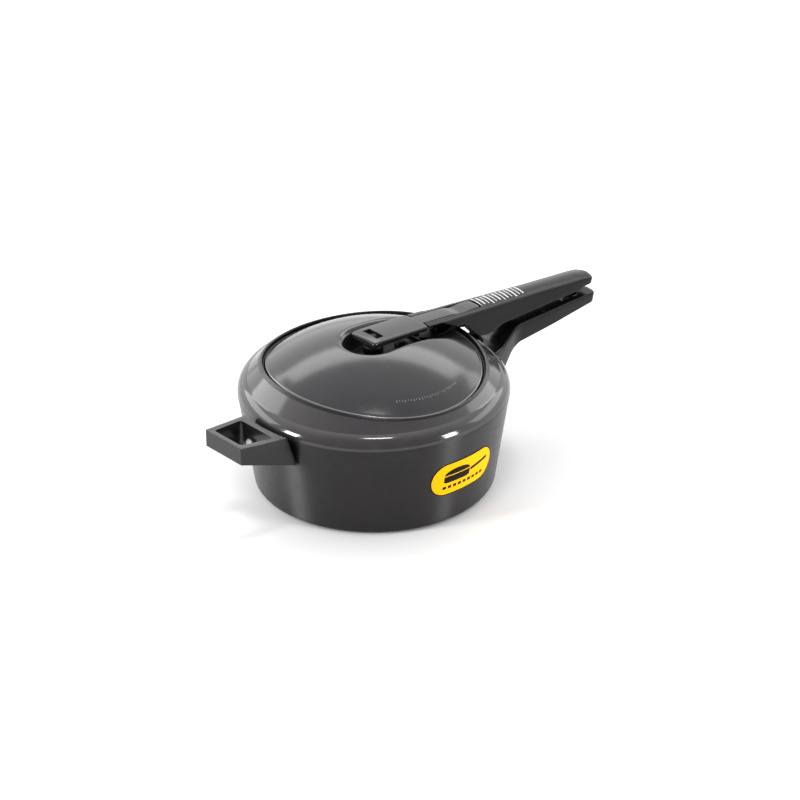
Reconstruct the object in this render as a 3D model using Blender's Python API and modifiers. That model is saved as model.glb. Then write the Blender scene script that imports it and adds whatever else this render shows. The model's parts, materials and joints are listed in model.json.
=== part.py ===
"""Stovetop pressure cooker with an inner-fitting oval lid and paired long handles.

Frame: origin at the centre of the base on the resting plane, +Z up, +X along the long
handles, the short helper handle at -X. Metres throughout; MM turns millimetres into metres.
The lid closes from inside the oval mouth and is drawn up against it by the lid handle,
which rocks on a fulcrum lug of the body bracket.
"""
import math

import bmesh
import bpy
from mathutils import Matrix, Vector

MM = 0.001
GAP = 0.3                    # clearance kept between touching pieces
FINE = 80                    # sides of the large round pieces
SMALL = 20                   # sides of pins, screws and nuts

# Pot body (all sizes in millimetres)
WALL = 3.25
BASE_RADIUS = 98.0
WALL_SLOPE = 0.15            # outward lean of the side, radius per height
BASE_CORNER = 5.0
SHOULDER_RADIUS = 12.5
SHOULDER_X = 97.5            # centre of the shoulder rounding
SHOULDER_Z = 80.3
SHOULDER_END = math.radians(70.0)
MOUTH_A = 86.3               # oval mouth, half length along X
MOUTH_B = 93.7               # oval mouth, half length along Y
LEAN = math.atan(WALL_SLOPE)

# The top of the body is a 45 degree cone: height plus radius is constant on each face
CONE_OUT = (SHOULDER_X + SHOULDER_Z
            + SHOULDER_RADIUS * (math.cos(SHOULDER_END) + math.sin(SHOULDER_END)))
CONE_IN = CONE_OUT - WALL * math.sqrt(2)

# Lid
DOME_TOP = 127.9
DOME_SPHERE = 144.3
LID_WALL = 2.5
LID_EDGE = -3.2              # dome edge, measured outward from the mouth
LID_DROP = 3.2               # dome edge below the rim
FLANGE_DROP = 5.1            # flange below the inner cone of the body
FLANGE_REACH = 6.0
LID_SIDES = 72
DOME_SHARES = (0.12, 0.26, 0.4, 0.54, 0.66, 0.77, 0.87, 0.95)
TROUGH_HALF = 23.0
TROUGH_NOSE_X = -2.5
TROUGH_FLOOR = 106.5
TROUGH_END_X = 95.0

# Axes of the moving pieces
FULCRUM = (104.0, 98.0)      # x, z of the lug that the lid handle rocks on
FULCRUM_RADIUS = 2.5
LEVER_PIVOT = (77.0, 117.0)
LATCH_PIVOT = (221.0, 98.5)
PIN_RADIUS = 1.6
PIN_HOLE = 1.9

# Lid handle and fingertip lever
HANDLE_TOP_X = 48.0
HANDLE_TOP_Z = 123.9
HANDLE_FALL = 0.1074         # fall of the handle's top per length
HANDLE_END_X = 242.0
GRIP_END_X = 244.0           # the lower grip reaches a little further than the upper one
LEVER_HALF = 7.3
LEVER_THICK = 3.0
LEVER_END_X = 112.0
BAR_TIP_X = -11.4
BAR_BACK_X = 46.8
BAR_HALF = 14.5
SLOT_HALF = 4.0              # the slot over the weight, half length along X
STEM_HOLE = 2.4

# Steel strap from the lid's trough to the lid handle
STRAP_THICK = 2.2
STRAP_HALF = 9.0
FLANGE_THICK = 2.0
STRAP_SCREW_X = 140.0
COVER_SCREW_X = 190.0
STRAP_SCREW_HOLE = 2.3
LID_RIVETS = [(50, -5), (50, 5), (66, 0)]

# Vent and safety valve
VALVE_X = 30.0

# Body handle
GRIP_TOP_Z = 88.0
GRIP_SCREW_X = 150.0
TONGUE_HALF = 6.0

# Helper handle
HELPER_OUT_X = -157.0
HELPER_IN_X = -110.5
HELPER_SCREWS = (-7.0, 7.0)  # places along Y
HELPER_SCREW_Z = 72.0

# Plates riveted to the pot's side; a rivet's place is its compass angle and its height
PLATE = 2.5
SCREW_HOLE = 2.4
RIVET_SHANK = 2.2
RIVET_HOLE = 2.5
BODY_RIVETS = [(math.radians(side * 5.4), height) for side in (-1, 1) for height in (60, 74)]
HELPER_RIVETS = [(math.pi + math.radians(side * 8.4), 72) for side in (-1, 1)]

# Badge on the side facing -Y
BADGE_ANGLE = math.radians(-88.7)
BADGE_HALF_LENGTH = 33.5
BADGE_HALF_HEIGHT = 15.3
BADGE_Z = 43.5

ANODISED = (0.055, 0.052, 0.056)
PHENOLIC = (0.030, 0.027, 0.027)
STEEL = (0.60, 0.60, 0.62)
RUBBER = (0.015, 0.015, 0.016)
BRASS = (0.70, 0.52, 0.25)
YELLOW = (0.95, 0.56, 0.02)


# ---------------------------------------------------------------- scene and shared tools

def clear_scene():
    for old in list(bpy.data.objects):
        bpy.data.objects.remove(old, do_unlink=True)


def new_collection(name):
    group = bpy.data.collections.new(name)
    bpy.context.scene.collection.children.link(group)
    return group


def make_material(name, colour, roughness, metallic):
    material = bpy.data.materials.new(name)
    material.use_nodes = True
    shader = material.node_tree.nodes["Principled BSDF"]
    shader.inputs["Base Color"].default_value = (*colour, 1.0)
    shader.inputs["Roughness"].default_value = roughness
    shader.inputs["Metallic"].default_value = metallic
    material.diffuse_color = (*colour, 1.0)
    return material


def add_object(name, mesh, group):
    piece = bpy.data.objects.new(name, mesh)
    group.objects.link(piece)
    return piece


def finish_piece(piece, colour, roughness, metallic):
    piece.data.materials.append(make_material(piece.name, colour, roughness, metallic))
    if piece.type == "MESH":
        piece.data.shade_smooth()
        piece.data.set_sharp_from_angle(angle=math.radians(35))


def mesh_from_bmesh(name, shape):
    bmesh.ops.recalc_face_normals(shape, faces=shape.faces)
    mesh = bpy.data.meshes.new(name)
    shape.to_mesh(mesh)
    shape.free()
    return mesh


def as_cutter(piece):
    """Move a helper shape to the cutters' collection."""
    for group in list(piece.users_collection):
        group.objects.unlink(piece)
    CUTTERS.objects.link(piece)
    piece.hide_render = True
    piece.display_type = "WIRE"
    return piece


def combine(piece, other, operation):
    step = piece.modifiers.new(operation.title(), "BOOLEAN")
    step.operation = operation
    step.object = as_cutter(other)
    return piece


def cut(piece, *others):
    for other in others:
        combine(piece, other, "DIFFERENCE")
    return piece


def join(piece, *others):
    for other in others:
        combine(piece, other, "UNION")
    return piece


def keep_inside(piece, other):
    return combine(piece, other, "INTERSECT")


# ---------------------------------------------------------------- outlines and solids

def arc(centre, radius, start, end, steps):
    """Points of a circular arc, both ends included."""
    return [(centre[0] + radius * math.cos(start + (end - start) * i / steps),
             centre[1] + radius * math.sin(start + (end - start) * i / steps))
            for i in range(steps + 1)]


def rounded(corners, steps=4):
    """Outline through corners given as (x, y, radius), each radius drawn as an arc."""
    outline = []
    for i, (x, y, radius) in enumerate(corners):
        corner = Vector((x, y))
        if radius == 0:
            outline.append((x, y))
            continue
        before = (Vector(corners[i - 1][:2]) - corner).normalized()
        after = (Vector(corners[(i + 1) % len(corners)][:2]) - corner).normalized()
        half_angle = before.angle(after) / 2
        centre = corner + (before + after).normalized() * radius / math.sin(half_angle)
        first = corner + before * radius / math.tan(half_angle) - centre
        last = corner + after * radius / math.tan(half_angle) - centre
        turn = first.angle_signed(last)
        for step in range(steps + 1):
            spoke = Matrix.Rotation(-turn * step / steps, 2) @ first
            outline.append((centre.x + spoke.x, centre.y + spoke.y))
    return outline


def outline_solid(name, outline, low, high, along="Y"):
    """A flat outline given thickness from low to high along Y (outline in X and Z) or Z."""
    curve = bpy.data.curves.new(name, "CURVE")
    curve.dimensions = "2D"
    curve.fill_mode = "BOTH"
    curve.extrude = (high - low) / 2 * MM
    spline = curve.splines.new("POLY")
    spline.points.add(len(outline) - 1)
    for point, (x, y) in zip(spline.points, outline):
        point.co = (x * MM, y * MM, 0.0, 1.0)
    spline.use_cyclic_u = True
    flat = add_object(name + "_outline", curve, PARTS)
    graph = bpy.context.evaluated_depsgraph_get()
    mesh = bpy.data.meshes.new_from_object(flat.evaluated_get(graph))
    bpy.data.objects.remove(flat)
    shape = bmesh.new()
    shape.from_mesh(mesh)
    bmesh.ops.remove_doubles(shape, verts=shape.verts, dist=1e-6)
    middle = (low + high) / 2 * MM
    if along == "Y":
        place = Matrix.Translation((0, middle, 0)) @ Matrix.Rotation(math.pi / 2, 4, "X")
    else:
        place = Matrix.Translation((0, 0, middle))
    bmesh.ops.transform(shape, matrix=place, verts=shape.verts)
    return add_object(name, mesh_from_bmesh(name, shape), PARTS)


def box(name, low, high):
    shape = bmesh.new()
    bmesh.ops.create_cube(shape, size=1.0)
    size = [(b - a) * MM for a, b in zip(low, high)]
    middle = [(b + a) / 2 * MM for a, b in zip(low, high)]
    bmesh.ops.scale(shape, vec=size, verts=shape.verts)
    bmesh.ops.translate(shape, vec=middle, verts=shape.verts)
    return add_object(name, mesh_from_bmesh(name, shape), PARTS)


def rod(name, start, end, radius, sides=SMALL):
    """A round rod between two points."""
    start, end = Vector(start) * MM, Vector(end) * MM
    shape = bmesh.new()
    bmesh.ops.create_cone(shape, cap_ends=True, segments=sides, radius1=radius * MM,
                          radius2=radius * MM, depth=(end - start).length)
    turn = (end - start).to_track_quat("Z", "X").to_matrix().to_4x4()
    place = Matrix.Translation((start + end) / 2) @ turn
    bmesh.ops.transform(shape, matrix=place, verts=shape.verts)
    return add_object(name, mesh_from_bmesh(name, shape), PARTS)


def turned(name, profile, sides=SMALL, closed=True, at=(0, 0, 0)):
    """A profile of (radius, height), outer side from top to bottom, turned about Z."""
    mesh = bpy.data.meshes.new(name)
    count = len(profile)
    edges = [(i, i + 1) for i in range(count - 1)]
    if closed:
        edges.append((count - 1, 0))
    mesh.from_pydata([(r * MM, 0, z * MM) for r, z in profile], edges, [])
    piece = add_object(name, mesh, PARTS)
    piece.location = Vector(at) * MM
    screw = piece.modifiers.new("Turn", "SCREW")
    screw.axis = "Z"
    screw.steps = sides
    screw.render_steps = sides
    screw.use_merge_vertices = True
    screw.merge_threshold = 1e-6
    return piece


def oval_radius(angle, grow=0.0):
    """Distance from the axis to the mouth's oval, grown outward, at a compass angle."""
    a, b = MOUTH_A + grow, MOUTH_B + grow
    return a * b / math.hypot(b * math.cos(angle), a * math.sin(angle))


def oval_loft(name, rings, sides, tip_low=None, tip_high=None):
    """Skin over rings; each ring gives (radius, height) at an angle. Tips close a dome."""
    shape = bmesh.new()
    rows = []
    for ring in rings:
        row = []
        for i in range(sides):
            angle = 2 * math.pi * i / sides
            radius, height = ring(angle)
            row.append(shape.verts.new((radius * math.cos(angle) * MM,
                                        radius * math.sin(angle) * MM, height * MM)))
        rows.append(row)
    pairs = list(zip(rows, rows[1:]))
    if tip_low is None:
        pairs.append((rows[-1], rows[0]))
    for row, other in pairs:
        for i in range(sides):
            j = (i + 1) % sides
            shape.faces.new((row[i], row[j], other[j], other[i]))
    for row, tip in ((rows[0], tip_high), (rows[-1], tip_low)):
        if tip is not None:
            centre = shape.verts.new((0, 0, tip * MM))
            for i in range(sides):
                shape.faces.new((centre, row[i], row[(i + 1) % sides]))
    return add_object(name, mesh_from_bmesh(name, shape), PARTS)


def coil(name, centre, radius, wire, low, high, turns):
    """A compression spring standing along Z."""
    steps = 10
    curve = bpy.data.curves.new(name, "CURVE")
    curve.dimensions = "3D"
    curve.bevel_depth = wire * MM
    curve.bevel_resolution = 2
    curve.use_fill_caps = True
    spline = curve.splines.new("POLY")
    count = int(turns * steps) + 1
    spline.points.add(count - 1)
    for i, point in enumerate(spline.points):
        angle = 2 * math.pi * i / steps
        height = low + wire + (high - low - 2 * wire) * i / (count - 1)
        point.co = ((centre[0] + radius * math.cos(angle)) * MM,
                    (centre[1] + radius * math.sin(angle)) * MM, height * MM, 1.0)
    return add_object(name, curve, PARTS)


def on_wall(angle, height, outward):
    """Point at a distance outside the pot's side, and the side's outward direction."""
    normal = Vector((math.cos(LEAN) * math.cos(angle), math.cos(LEAN) * math.sin(angle),
                     -math.sin(LEAN)))
    radius = BASE_RADIUS + WALL_SLOPE * height
    foot = Vector((radius * math.cos(angle), radius * math.sin(angle), height))
    return foot + normal * outward, normal


def wall_solid(name, extra, spread=0.0, foot=0.0):
    """The pot's tapered side as a plain cone, grown by extra; trims what fits round it.
    A spread leans the cone further out above the height called foot."""
    def radius(z):
        return BASE_RADIUS + WALL_SLOPE * z + extra / math.cos(LEAN) + spread * (z - foot)

    low, high = -20.0, 140.0
    return turned(name, [(0, high), (radius(high), high), (radius(low), low), (0, low)],
                  sides=FINE, closed=False)


# ---------------------------------------------------------------- pot body and fittings

def cone_top(angle):
    return CONE_OUT - oval_radius(angle)


def pot_profile(inset):
    """The body's outline, inset by the wall for its inner face, from top to base centre."""
    centre = (SHOULDER_X, SHOULDER_Z)
    radius = SHOULDER_RADIUS - inset
    constant = CONE_OUT - inset * math.sqrt(2)
    turn = math.asin((constant - SHOULDER_X - SHOULDER_Z) / radius / math.sqrt(2))
    crease = math.pi * 3 / 4 - turn
    top_r = MOUTH_A - 2.5
    outline = [(top_r, constant - top_r)]
    outline += arc(centre, radius, crease, -LEAN, 7)
    corner = BASE_CORNER - min(inset, 2.5)
    wall_x = BASE_RADIUS + WALL_SLOPE * (inset + corner) - (inset + corner) / math.cos(LEAN)
    outline += arc((wall_x, inset + corner), corner, -LEAN, -math.pi / 2, 4)
    outline.append((0, inset))
    return outline


def oval_post(name, low, high):
    """An upright post with the mouth's oval as its plan."""
    shape = bmesh.new()
    bmesh.ops.create_cone(shape, cap_ends=True, segments=LID_SIDES, radius1=MM, radius2=MM,
                          depth=(high - low) * MM)
    bmesh.ops.scale(shape, vec=(MOUTH_A, MOUTH_B, 1), verts=shape.verts)
    bmesh.ops.translate(shape, vec=(0, 0, (low + high) / 2 * MM), verts=shape.verts)
    return add_object(name, mesh_from_bmesh(name, shape), PARTS)


def rivet(name, angle, height):
    """A rivet through the side and through the plate outside it."""
    inside = -WALL - GAP
    outside = GAP + PLATE + GAP

    def at(outward):
        return on_wall(angle, height, outward)[0]

    shank = rod(name, at(inside - 0.5), at(outside + 0.5), RIVET_SHANK, sides=12)
    return join(shank, rod(name + "_inner", at(inside - 1.6), at(inside), 4.2, sides=16),
                rod(name + "_outer", at(outside), at(outside + 1.5), 3.8, sides=16))


def rivet_hole(name, angle, height):
    return rod(name, on_wall(angle, height, -10)[0], on_wall(angle, height, 10)[0],
               RIVET_HOLE, sides=12)


def pot_body():
    outer = pot_profile(0.0)
    inner = pot_profile(WALL)
    body = turned("pot_body", outer + inner[::-1], sides=FINE)
    cut(body, oval_post("mouth_cut", 92, 130))
    for i, (angle, height) in enumerate(BODY_RIVETS + HELPER_RIVETS):
        cut(body, rivet_hole(f"body_hole_{i}", angle, height))
    finish_piece(body, ANODISED, 0.35, 0.8)


def wall_plate(name, angle, half_width, low, high):
    """A plate that follows the pot's side, standing off it by the usual gap."""
    reach = BASE_RADIUS + 35
    edge = half_width / BASE_RADIUS
    block = outline_solid(name, [(60 * math.cos(angle), 60 * math.sin(angle)),
                                 (reach * math.cos(angle - edge), reach * math.sin(angle - edge)),
                                 (reach * math.cos(angle + edge), reach * math.sin(angle + edge))],
                          low, high, along="Z")
    keep_inside(block, wall_solid(name + "_outside", GAP + PLATE))
    return cut(block, wall_solid(name + "_inside", GAP))


def body_handle_bracket():
    """Riveted plate, a tongue for the handle's screw and the lug the lid handle rocks on."""
    x, z = FULCRUM
    plate = wall_plate("body_handle_bracket", 0.0, 15.0, 52, 82)
    tongue = outline_solid("bracket_tongue", [(105, 65), (112, 66), (160, 78), (160, 81),
                                              (112, 69.5), (105, 69)],
                           -TONGUE_HALF, TONGUE_HALF)
    cut(tongue, wall_solid("tongue_trim", GAP))
    nose = arc((x, z), FULCRUM_RADIUS, math.radians(215), math.radians(20), 7)
    lug = outline_solid("bracket_lug", nose + [(116.0, 84), (115.8, 76), (108, 76),
                                               (111.2, 83.5)], -TONGUE_HALF, TONGUE_HALF)
    cut(lug, wall_solid("lug_trim", GAP))
    join(plate, tongue, lug)
    cut(plate, rod("tongue_hole", (GRIP_SCREW_X, 0, 60), (GRIP_SCREW_X, 0, 90), SCREW_HOLE,
                   sides=12))
    for i, (angle, height) in enumerate(BODY_RIVETS):
        cut(plate, rivet_hole(f"bracket_hole_{i}", angle, height))
    finish_piece(plate, STEEL, 0.4, 1.0)


def wall_rivets(name, places):
    for i, (angle, height) in enumerate(places, start=1):
        finish_piece(rivet(f"{name}_{i}", angle, height), STEEL, 0.35, 1.0)


def body_handle():
    """Lower grip with a neck that spreads towards the pot."""
    end = GRIP_END_X
    side = rounded([(100, 79, 0), (126, 79, 8), (150, GRIP_TOP_Z, 14), (end - 1, GRIP_TOP_Z, 2),
                    (end, 77.5, 2.5), (191, 72, 60), (153, 69.5, 18), (132, 57, 25),
                    (118, 45, 3), (100, 45, 0)])
    plan = rounded([(100, -25, 0), (114, -24, 0), (150, -12, 40), (end - 4, -11, 0), (end, -7, 3),
                    (end, 7, 3), (end - 4, 11, 0), (150, 12, 40), (114, 24, 0), (100, 25, 0)])
    handle = outline_solid("body_handle", side, -30, 30)
    keep_inside(handle, outline_solid("body_handle_plan", plan, 30, 100, along="Z"))
    cut(handle, wall_solid("body_handle_seat", 0.8),
        box("bracket_pocket", (100, -17, 50), (117, 17, 90)),
        outline_solid("tongue_slot", [(108, 64), (161, 77.2), (161, 82), (108, 71.5)],
                      -TONGUE_HALF - 1, TONGUE_HALF + 1),
        rod("grip_screw_hole", (GRIP_SCREW_X, 0, 60), (GRIP_SCREW_X, 0, 85), SCREW_HOLE,
            sides=12),
        rod("grip_screw_sink", (GRIP_SCREW_X, 0, 60), (GRIP_SCREW_X, 0, 72.5), 4.6, sides=16),
        box("latch_slot", (207.5, -5.0, 79.5), (227, 5.0, 95)))
    finish_piece(handle, PHENOLIC, 0.4, 0.0)


def screw_up(name, x, head_z, tip_z, head_radius, shank):
    """A pan-head screw driven upward; the head hangs below head_z."""
    shank_piece = rod(name, (x, 0, head_z - 0.5), (x, 0, tip_z), shank, sides=12)
    return join(shank_piece, rod(name + "_head", (x, 0, head_z - 2.0), (x, 0, head_z),
                                 head_radius, sides=16))


def body_handle_screw():
    screw = screw_up("body_handle_screw", GRIP_SCREW_X, 72.2, 84.5, head_radius=4.0, shank=2.0)
    finish_piece(screw, STEEL, 0.3, 1.0)


def latch_keeper():
    """Plate in the lower grip whose undercut ramp holds the latch hook."""
    side = [(207.8, 79.8), (215.4, 79.8), (215.4, 82.9), (217.0, 87.3), (217.0, 88.0),
            (207.8, 88.0)]
    finish_piece(outline_solid("latch_keeper", side, -4.7, 4.7), STEEL, 0.35, 1.0)


def helper_handle():
    """Short handle: a wedge that rises outward, narrower at its outer end, with a window."""
    plan = rounded([(HELPER_OUT_X, -21.5, 3), (HELPER_OUT_X, 21.5, 3),
                    (HELPER_IN_X + 7, 26.4, 0), (HELPER_IN_X + 7, -26.4, 0)])
    side = rounded([(HELPER_OUT_X, 76.3, 2.5), (HELPER_OUT_X, 91.4, 1.5),
                    (HELPER_IN_X, 86.2, 1), (-103.0, 58.3, 0)])
    handle = outline_solid("helper_handle", side, -30, 30)
    keep_inside(handle, outline_solid("helper_plan", plan, 40, 110, along="Z"))
    window = rounded([(HELPER_OUT_X + 7.5, -15.2, 3), (HELPER_OUT_X + 7.5, 15.2, 3),
                      (HELPER_IN_X - 12, 18.0, 2), (HELPER_IN_X - 12, -18.0, 2)])
    cut(handle, outline_solid("helper_window", window, 40, 110, along="Z"),
        wall_solid("helper_seat", 0.8, spread=0.16, foot=57),
        box("helper_bracket_pocket", (-116.6, -21, 62), (-100, 21, 82)))
    for i, y in enumerate(HELPER_SCREWS):
        cut(handle, rod(f"helper_hole_{i}", (-130, y, HELPER_SCREW_Z), (-110, y, HELPER_SCREW_Z),
                        SCREW_HOLE, sides=12))
    finish_piece(handle, PHENOLIC, 0.4, 0.0)


def helper_bracket():
    plate = wall_plate("helper_bracket", math.pi, 20.0, 63, 81)
    boss = box("helper_boss", (-116.2, -11, 66), (-105, 11, 78))
    join(plate, cut(boss, wall_solid("boss_trim", GAP)))
    for i, y in enumerate(HELPER_SCREWS):
        cut(plate, rod(f"boss_hole_{i}", (-130, y, HELPER_SCREW_Z), (-109.6, y, HELPER_SCREW_Z),
                       SCREW_HOLE, sides=12))
    for i, (angle, height) in enumerate(HELPER_RIVETS):
        cut(plate, rivet_hole(f"helper_rivet_hole_{i}", angle, height))
    finish_piece(plate, STEEL, 0.4, 1.0)


def helper_screws():
    z = HELPER_SCREW_Z
    for i, y in enumerate(HELPER_SCREWS, start=1):
        shank = rod(f"helper_screw_{i}", (-123, y, z), (-110.4, y, z), 2.0, sides=12)
        head = rod(f"helper_screw_head_{i}", (-124.8, y, z), (-122.8, y, z), 4.0, sides=16)
        finish_piece(join(shank, head), STEEL, 0.3, 1.0)


def badge_label():
    """Thin oblong plate with round ends that follows the pot's side."""
    straight = BADGE_HALF_LENGTH - BADGE_HALF_HEIGHT
    outline = (arc((straight, 0), BADGE_HALF_HEIGHT, -math.pi / 2, math.pi / 2, 10)
               + arc((-straight, 0), BADGE_HALF_HEIGHT, math.pi / 2, math.pi * 3 / 2, 10))
    badge = outline_solid("badge_label", outline, 80, 130)
    turn = Matrix.Rotation(BADGE_ANGLE - math.pi / 2, 4, "Z")
    badge.data.transform(Matrix.Translation((0, 0, BADGE_Z * MM)) @ turn)
    keep_inside(badge, wall_solid("badge_face", GAP + 0.5))
    cut(badge, wall_solid("badge_back", GAP))
    finish_piece(badge, YELLOW, 0.4, 0.0)


# ---------------------------------------------------------------- lid

def dome_ring(share, thickness):
    """One ring of the dome: share of the way to its edge; thickness below the outside."""
    def place(angle):
        edge = oval_radius(angle, LID_EDGE)
        mean = (MOUTH_A + MOUTH_B) / 2 + LID_EDGE
        fall = DOME_SPHERE - math.sqrt(DOME_SPHERE ** 2 - (share * mean) ** 2)
        full = DOME_SPHERE - math.sqrt(DOME_SPHERE ** 2 - mean ** 2)
        rim = cone_top(angle) - LID_DROP
        height = DOME_TOP - (DOME_TOP - rim) * fall / full
        return edge * share, height - thickness
    return place


def cone_ring(grow, drop):
    """One ring parallel to the body's inner cone, at a drop below it."""
    def place(angle):
        radius = oval_radius(angle, grow)
        return radius, CONE_IN - drop - radius
    return place


def lid():
    """Domed oval lid: shell, edge wall and a flange parallel to the body's cone."""
    lower = FLANGE_DROP + LID_WALL * math.sqrt(2)
    rings = [dome_ring(share, 0) for share in DOME_SHARES + (1,)]
    rings += [cone_ring(LID_EDGE + 0.5, FLANGE_DROP), cone_ring(FLANGE_REACH, FLANGE_DROP),
              cone_ring(FLANGE_REACH, lower), cone_ring(LID_EDGE - 2.4, lower)]
    rings += [dome_ring(share, LID_WALL) for share in (0.965, 0.87, 0.74, 0.58, 0.4, 0.2)]
    shell = oval_loft("lid", rings, LID_SIDES, tip_low=DOME_TOP - LID_WALL, tip_high=DOME_TOP)
    join(shell, keep_inside(trough_block("lid_trough", TROUGH_HALF + LID_WALL,
                                         TROUGH_FLOOR - LID_WALL, 90),
                            dome_solid("lid_trough_top")))
    cut(shell, trough_block("lid_trough_space", TROUGH_HALF, TROUGH_FLOOR, TROUGH_END_X))
    for i, (x, y, radius) in enumerate([(0, 0, 4.3), (VALVE_X, 0, 3.9)]
                                       + [(x, y, 2.3) for x, y in LID_RIVETS]):
        cut(shell, rod(f"lid_hole_{i}", (x, y, 90), (x, y, 115), radius, sides=16))
    finish_piece(shell, ANODISED, 0.3, 0.8)


def trough_block(name, half_width, floor, end_x):
    nose = arc((TROUGH_NOSE_X, 0), half_width, math.pi / 2, math.pi * 3 / 2, 12)
    return outline_solid(name, nose + [(end_x, -half_width), (end_x, half_width)], floor, 140,
                         along="Z")


def dome_solid(name):
    """Everything under the dome's outer face, down to below the trough's floor."""
    rings = [dome_ring(share, 0) for share in DOME_SHARES + (0.99,)]
    rings.append(lambda angle: (oval_radius(angle, LID_EDGE) * 0.99, 94.0))
    return oval_loft(name, rings, LID_SIDES, tip_low=94.0, tip_high=DOME_TOP)


def gasket():
    """Flat rubber ring that the flange presses up against the body's inner cone."""
    slack = GAP * math.sqrt(2)
    reach = FLANGE_REACH - 0.2
    rings = [cone_ring(-1.0, slack), cone_ring(reach, slack),
             cone_ring(reach, FLANGE_DROP - slack), cone_ring(-1.0, FLANGE_DROP - slack)]
    finish_piece(oval_loft("gasket", rings, LID_SIDES), RUBBER, 0.6, 0.0)


def hexagon(name, x, radius, low, high, bore):
    nut = rod(name, (x, 0, low), (x, 0, high), radius, sides=6)
    return cut(nut, rod(name + "_bore", (x, 0, low - 1), (x, 0, high + 1), bore, sides=16))


def vent_tube():
    """Steam pipe screwed through the trough's floor, with a hexagonal collar."""
    floor = TROUGH_FLOOR + GAP
    tube = turned("vent_tube", [(1.6, 113.0), (3.0, 113.0), (4.0, 111.5), (4.0, 97.0),
                                (1.6, 97.0)])
    join(tube, hexagon("vent_collar", 0, 6.6, floor, floor + 2.5, 3.0))
    finish_piece(tube, STEEL, 0.3, 1.0)


def vent_nut():
    top = TROUGH_FLOOR - LID_WALL - GAP
    finish_piece(hexagon("vent_nut", 0, 7.5, top - 3.5, top, 4.3), STEEL, 0.35, 1.0)


def safety_valve():
    """Fusible safety plug with a domed cap."""
    floor = TROUGH_FLOOR + GAP
    cap = [(0, floor + 4.2), (2.5, floor + 4.0), (4.8, floor + 3.0), (5.6, floor + 1.2),
           (5.6, floor), (3.5, floor), (3.5, 97.0), (0, 97.0)]
    finish_piece(turned("safety_valve", cap, closed=False, at=(VALVE_X, 0, 0)),
                        BRASS, 0.35, 1.0)


def safety_valve_nut():
    top = TROUGH_FLOOR - LID_WALL - GAP
    nut = hexagon("safety_valve_nut", VALVE_X, 6.8, top - 3.2, top, 3.9)
    finish_piece(nut, BRASS, 0.35, 1.0)


def strap_route(offset):
    """Underside of the lid strap, moved up by an offset measured square to its steps."""
    foot = TROUGH_FLOOR + GAP
    return [(44, foot + offset), (73 - 0.2 * offset, foot + offset),
            (79 - 0.2 * offset, 109.9 + offset), (90 + 0.4 * offset, 109.9 + offset),
            (99 + 0.4 * offset, FULCRUM[1] + FULCRUM_RADIUS + GAP + offset),
            (150, FULCRUM[1] + FULCRUM_RADIUS + GAP + offset)]


def lid_bracket():
    """Steel strap riveted in the trough; it crosses the rim and carries the lid handle.
    Flanges along its edges reach down beside the fulcrum lug and towards the trough."""
    outline = strap_route(0) + strap_route(STRAP_THICK)[::-1]
    strap = outline_solid("lid_bracket", outline, -STRAP_HALF, STRAP_HALF)
    flanges = {"outer": [(89.5, 110.8), (98.5, 101.8), (112, 101.8), (112, 94.5), (101.5, 95),
                         (97, 100), (91, 106.5)],
               "inner": [(70, 107.8), (74, 108.0), (79, 110.8), (82, 110.8), (82, 106.2),
                         (79, 107.0), (70, 107.2)]}
    for label, side in flanges.items():
        for low in (-STRAP_HALF, STRAP_HALF - FLANGE_THICK):
            name = f"strap_flange_{label}_{low:.0f}"
            join(strap, outline_solid(name, side, low, low + FLANGE_THICK))
    for i, (x, y) in enumerate(LID_RIVETS + [(STRAP_SCREW_X, 0)]):
        cut(strap, rod(f"strap_hole_{i}", (x, y, 95), (x, y, 112), STRAP_SCREW_HOLE, sides=12))
    finish_piece(strap, STEEL, 0.35, 1.0)


def lid_bracket_rivets():
    low = TROUGH_FLOOR - LID_WALL - GAP
    high = TROUGH_FLOOR + GAP + STRAP_THICK + GAP
    for i, (x, y) in enumerate(LID_RIVETS, start=1):
        name = f"lid_bracket_rivet_{i}"
        shank = rod(name, (x, y, low - 0.5), (x, y, high + 0.5), 2.0, sides=12)
        join(shank, rod(name + "_low", (x, y, low - 1.5), (x, y, low), 3.8, sides=12),
             rod(name + "_high", (x, y, high), (x, y, high + 1.3), 3.6, sides=12))
        finish_piece(shank, STEEL, 0.35, 1.0)


# ---------------------------------------------------------------- lid handle, lever, latch

def handle_top(x):
    return HANDLE_TOP_Z - HANDLE_FALL * (x - HANDLE_TOP_X)


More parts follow.
